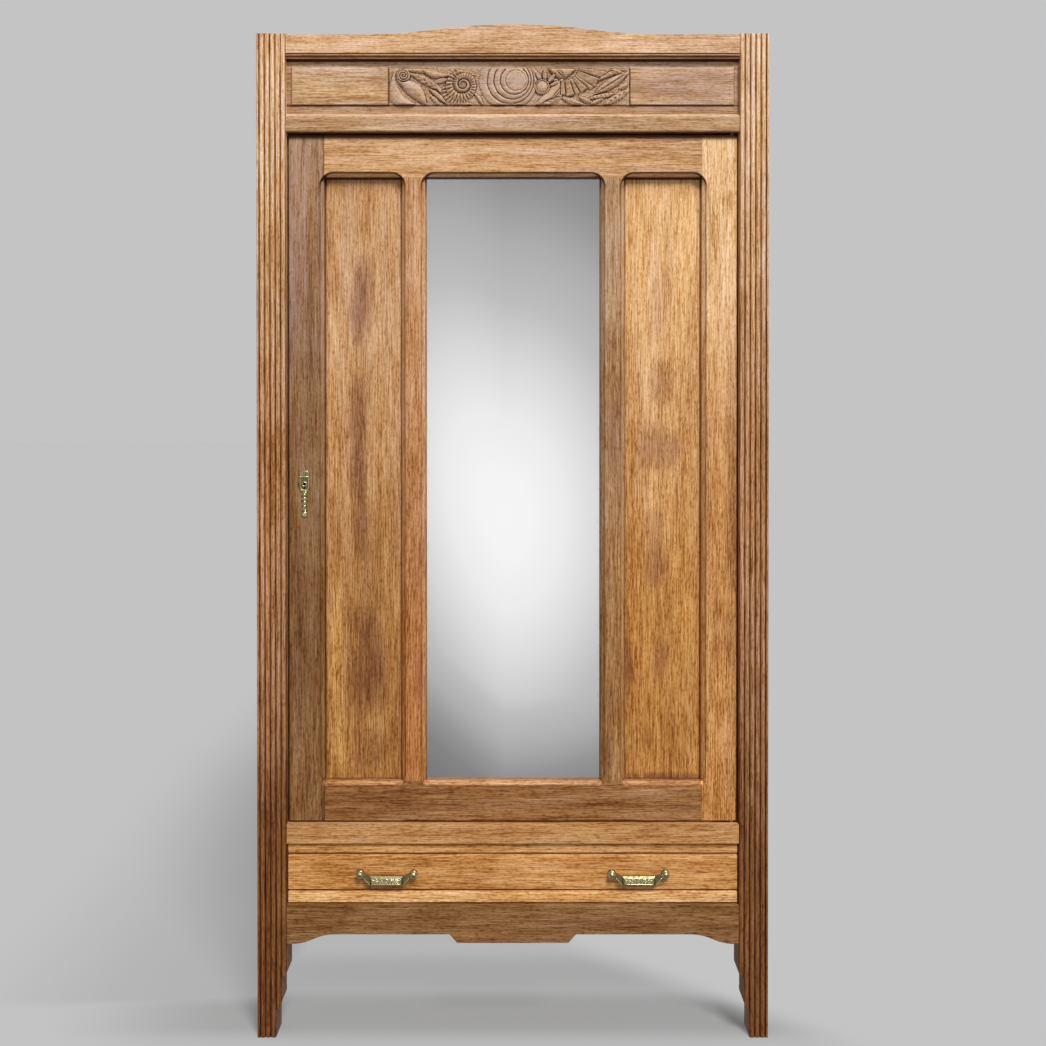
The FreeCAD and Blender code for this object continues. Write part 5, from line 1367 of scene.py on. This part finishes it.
# ---------------------------------------------------------------------------- floor, lamps, camera
@dataclass
class Studio:
    """Plain floor and backdrop, a soft lamp and the camera.

    The glow is what polished faces see: its brightness falls with the distance from its middle. The
    fades of the floor's paint are rows of from, to and the share left: right of the slanting line, to
    the left, to the back, to the front and all round.
    """

    backdrop: Rgb = (196, 196, 196)
    floor_colour: Rgb = (149, 149, 149)
    floor_size: float = 40.0
    camera_x: float = 0.0203
    camera_height: float = 1.24
    camera_pitch: float = 0.35
    picture_middle: float = 1.0185
    distance: float = 2.1
    frame_width: float = 2.0606
    sensor: float = 36.0
    fill: float = 0.44
    sun: float = 3.3
    sun_height: float = 50.0
    sun_side: float = 22.0
    sun_softness: float = 0.32
    paint: tuple[float, ...] = (-0.135, -0.050, 0.80, 0.31)
    slant: Point = (0.095, 1.3)
    fades: tuple[tuple[float, float, float], ...] = (
        (0.33, 0.53, 0.0), (-0.56, -1.00, 0.05), (0.03, 0.12, 0.6), (-0.19, -0.26, 0.4), (0.55, 1.5, 0.0))
    glow_middle: Point = (-0.017, -0.099)
    glow_narrow: float = 1.6
    glow_lean: float = 0.7
    glow_foot: Point = (0.17, 0.9)
    glow_scale: float = 1.25
    glow: tuple[Point, ...] = (
        (0.0, 0.985), (0.045, 0.975), (0.113, 0.90), (0.18, 0.745), (0.25, 0.55), (0.32, 0.45),
        (0.385, 0.32), (0.44, 0.25), (0.55, 0.19), (1.0, 0.4))

    def build(self) -> None:
        """Makes the floor, the world, the lamp and the camera."""
        self.floor()
        self.world()
        self.lamp()
        self.camera()
        bpy.context.scene.view_settings.view_transform = "Standard"

    def lamp(self) -> None:
        """Makes the soft sun, high and from the right."""
        light = bpy.data.lights.new("soft_sun", "SUN")
        light.energy = self.sun
        light.angle = self.sun_softness
        lamp = bpy.data.objects.new("soft_sun", light)
        lamp.rotation_euler = (np.radians(90 - self.sun_height), 0.0, np.radians(self.sun_side))
        bpy.context.scene.collection.objects.link(lamp)

    def camera(self) -> None:
        """Makes the camera, whose picture is frame_width wide at the front of the posts."""
        camera = bpy.data.objects.new("camera", bpy.data.cameras.new("camera"))
        bpy.context.scene.collection.objects.link(camera)
        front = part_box("front_post_left")[0].y
        camera.location = (self.camera_x, front - self.distance, self.camera_height)
        camera.rotation_euler = (np.radians(90 - self.camera_pitch), 0, 0)
        camera.data.sensor_width = self.sensor
        camera.data.lens = self.sensor * self.distance / self.frame_width
        aim = self.camera_height - self.distance * np.tan(np.radians(self.camera_pitch))
        camera.data.shift_y = (self.picture_middle - aim) / self.frame_width
        bpy.context.scene.camera = camera

    def world(self) -> None:
        """Makes the backdrop: plain for the camera, an even fill for matt faces, a glow for polished ones.

        The glow is a soft patch ahead of the cabinet. With u and v the slopes of a direction to the side
        and upwards from the glow's middle, the distance is the root of (narrow u)^2 + v^2. The patch leans
        upwards on the left, where v changes by u times its lean, and ends sooner at its lower edge.
        """
        world = bpy.data.worlds.new("backdrop")
        bpy.context.scene.world = world
        world.use_nodes = True
        sky = Nodes(world.node_tree, "Generated")
        ahead = (sky.y * -1.0).most(0.05)
        side = sky.x / ahead - self.glow_middle[0]
        across = side * self.glow_narrow
        above = sky.z / ahead - self.glow_middle[1] + side.least(0.0) * self.glow_lean
        above = above + (above + self.glow_foot[0]).least(0.0) * self.glow_foot[1]
        away = (across * across + above * above).root() * self.glow_scale
        glow = sky.add("ValToRGB", {"Fac": away})
        ramp = glow.socket.node.color_ramp
        for _ in self.glow[2:]:
            ramp.elements.new(0.5)
        for element, (at, bright) in zip(ramp.elements, self.glow):
            element.position = at
            element.color = (bright, bright, bright, 1)
        plain = sky.add("Background", {"Color": rgba(self.backdrop)})
        fill = sky.add("Background", {"Color": (1, 1, 1, 1), "Strength": self.fill})
        path = sky.add("LightPath", output="Is Camera Ray")
        lit = sky.mix(path.beside("Is Glossy Ray"), fill, sky.add("Background", {"Color": glow}))
        sky.end(sky.mix(path.most(path.beside("Is Transmission Ray")), lit, plain))

    def floor(self) -> None:
        """Makes the floor: part paint and part backdrop, so that its shadow stays light.

        The share of paint is greatest by the front feet. It falls to the front and the back, to the left
        from 0.56 m on, to the right of a slanting line under the cabinet, and all round further away.
        Behind the front feet and beside the left one it is half at least, and fades further to the left.
        Polished faces look through the floor at the backdrop.
        """
        corners = np.array([(-1, -1, 0), (1, -1, 0), (1, 1, 0), (-1, 1, 0)]) * self.floor_size
        floor = new_piece("floor", corners, [(0, 1, 2, 3)], False)
        graph = Graph("floor_paint")
        graph.surface({"Base Color": rgba(self.floor_colour), "Roughness": 0.9, "Specular IOR Level": 0.0})
        x, y = graph.x, graph.y
        away = graph.vector("LENGTH", graph.vector("MULTIPLY", graph.place, (0.8, 1.0, 1.0))).beside("Value")
        paint = graph.ramp(y, *self.paint)
        right = x + (y + self.slant[0]) * self.slant[1]
        for place, (near, far, rest) in zip((right, x, y, y, away), self.fades):
            paint = paint * graph.ramp(place, near, far, 1.0, rest)
        beside = graph.ramp(x, -0.40, -0.58, 0.0, 0.5) * graph.ramp(x, -0.72, -1.25, 1.0, 0.1)
        beside = beside * graph.ramp(y, -0.15, -0.09)
        path = graph.add("LightPath", output="Is Camera Ray")
        seen = path.most(path.beside("Is Transmission Ray"))
        shown = graph.mix((1.0 - paint.most(beside)) * seen, Signal(graph, graph.shader.outputs[0]),
                          graph.add("Emission", {"Color": rgba(self.backdrop)}))
        graph.end(graph.mix(path.beside("Is Glossy Ray"), shown, graph.add("BsdfTransparent")))
        floor.data.materials.append(graph.material)


# ---------------------------------------------------------------------------- everything in order
def main() -> None:
    """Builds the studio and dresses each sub-assembly in order."""
    logging.basicConfig(level=logging.INFO, format="%(name)s: %(message)s")
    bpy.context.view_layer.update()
    # Lit and shaded copies of one brass: the darker is painted shade on the key plate, bosses and bails,
    # under the bright ornament.
    brass = MetalFinish("aged_brass", (236, 222, 174), (66, 56, 32), 0.26, 0.45, 1.4).build()
    shaded = MetalFinish("shaded_brass", (158, 146, 104), (58, 50, 30), 0.34, 0.7).build()
    steel = MetalFinish("dull_steel", (150, 148, 144), (70, 62, 54), 0.42, 0.6).build()
    Studio().build()
    Case().build(steel)
    Door().build(brass, shaded, steel)
    Drawer().build(brass, shaded)


if __name__ == "__main__":
    main()
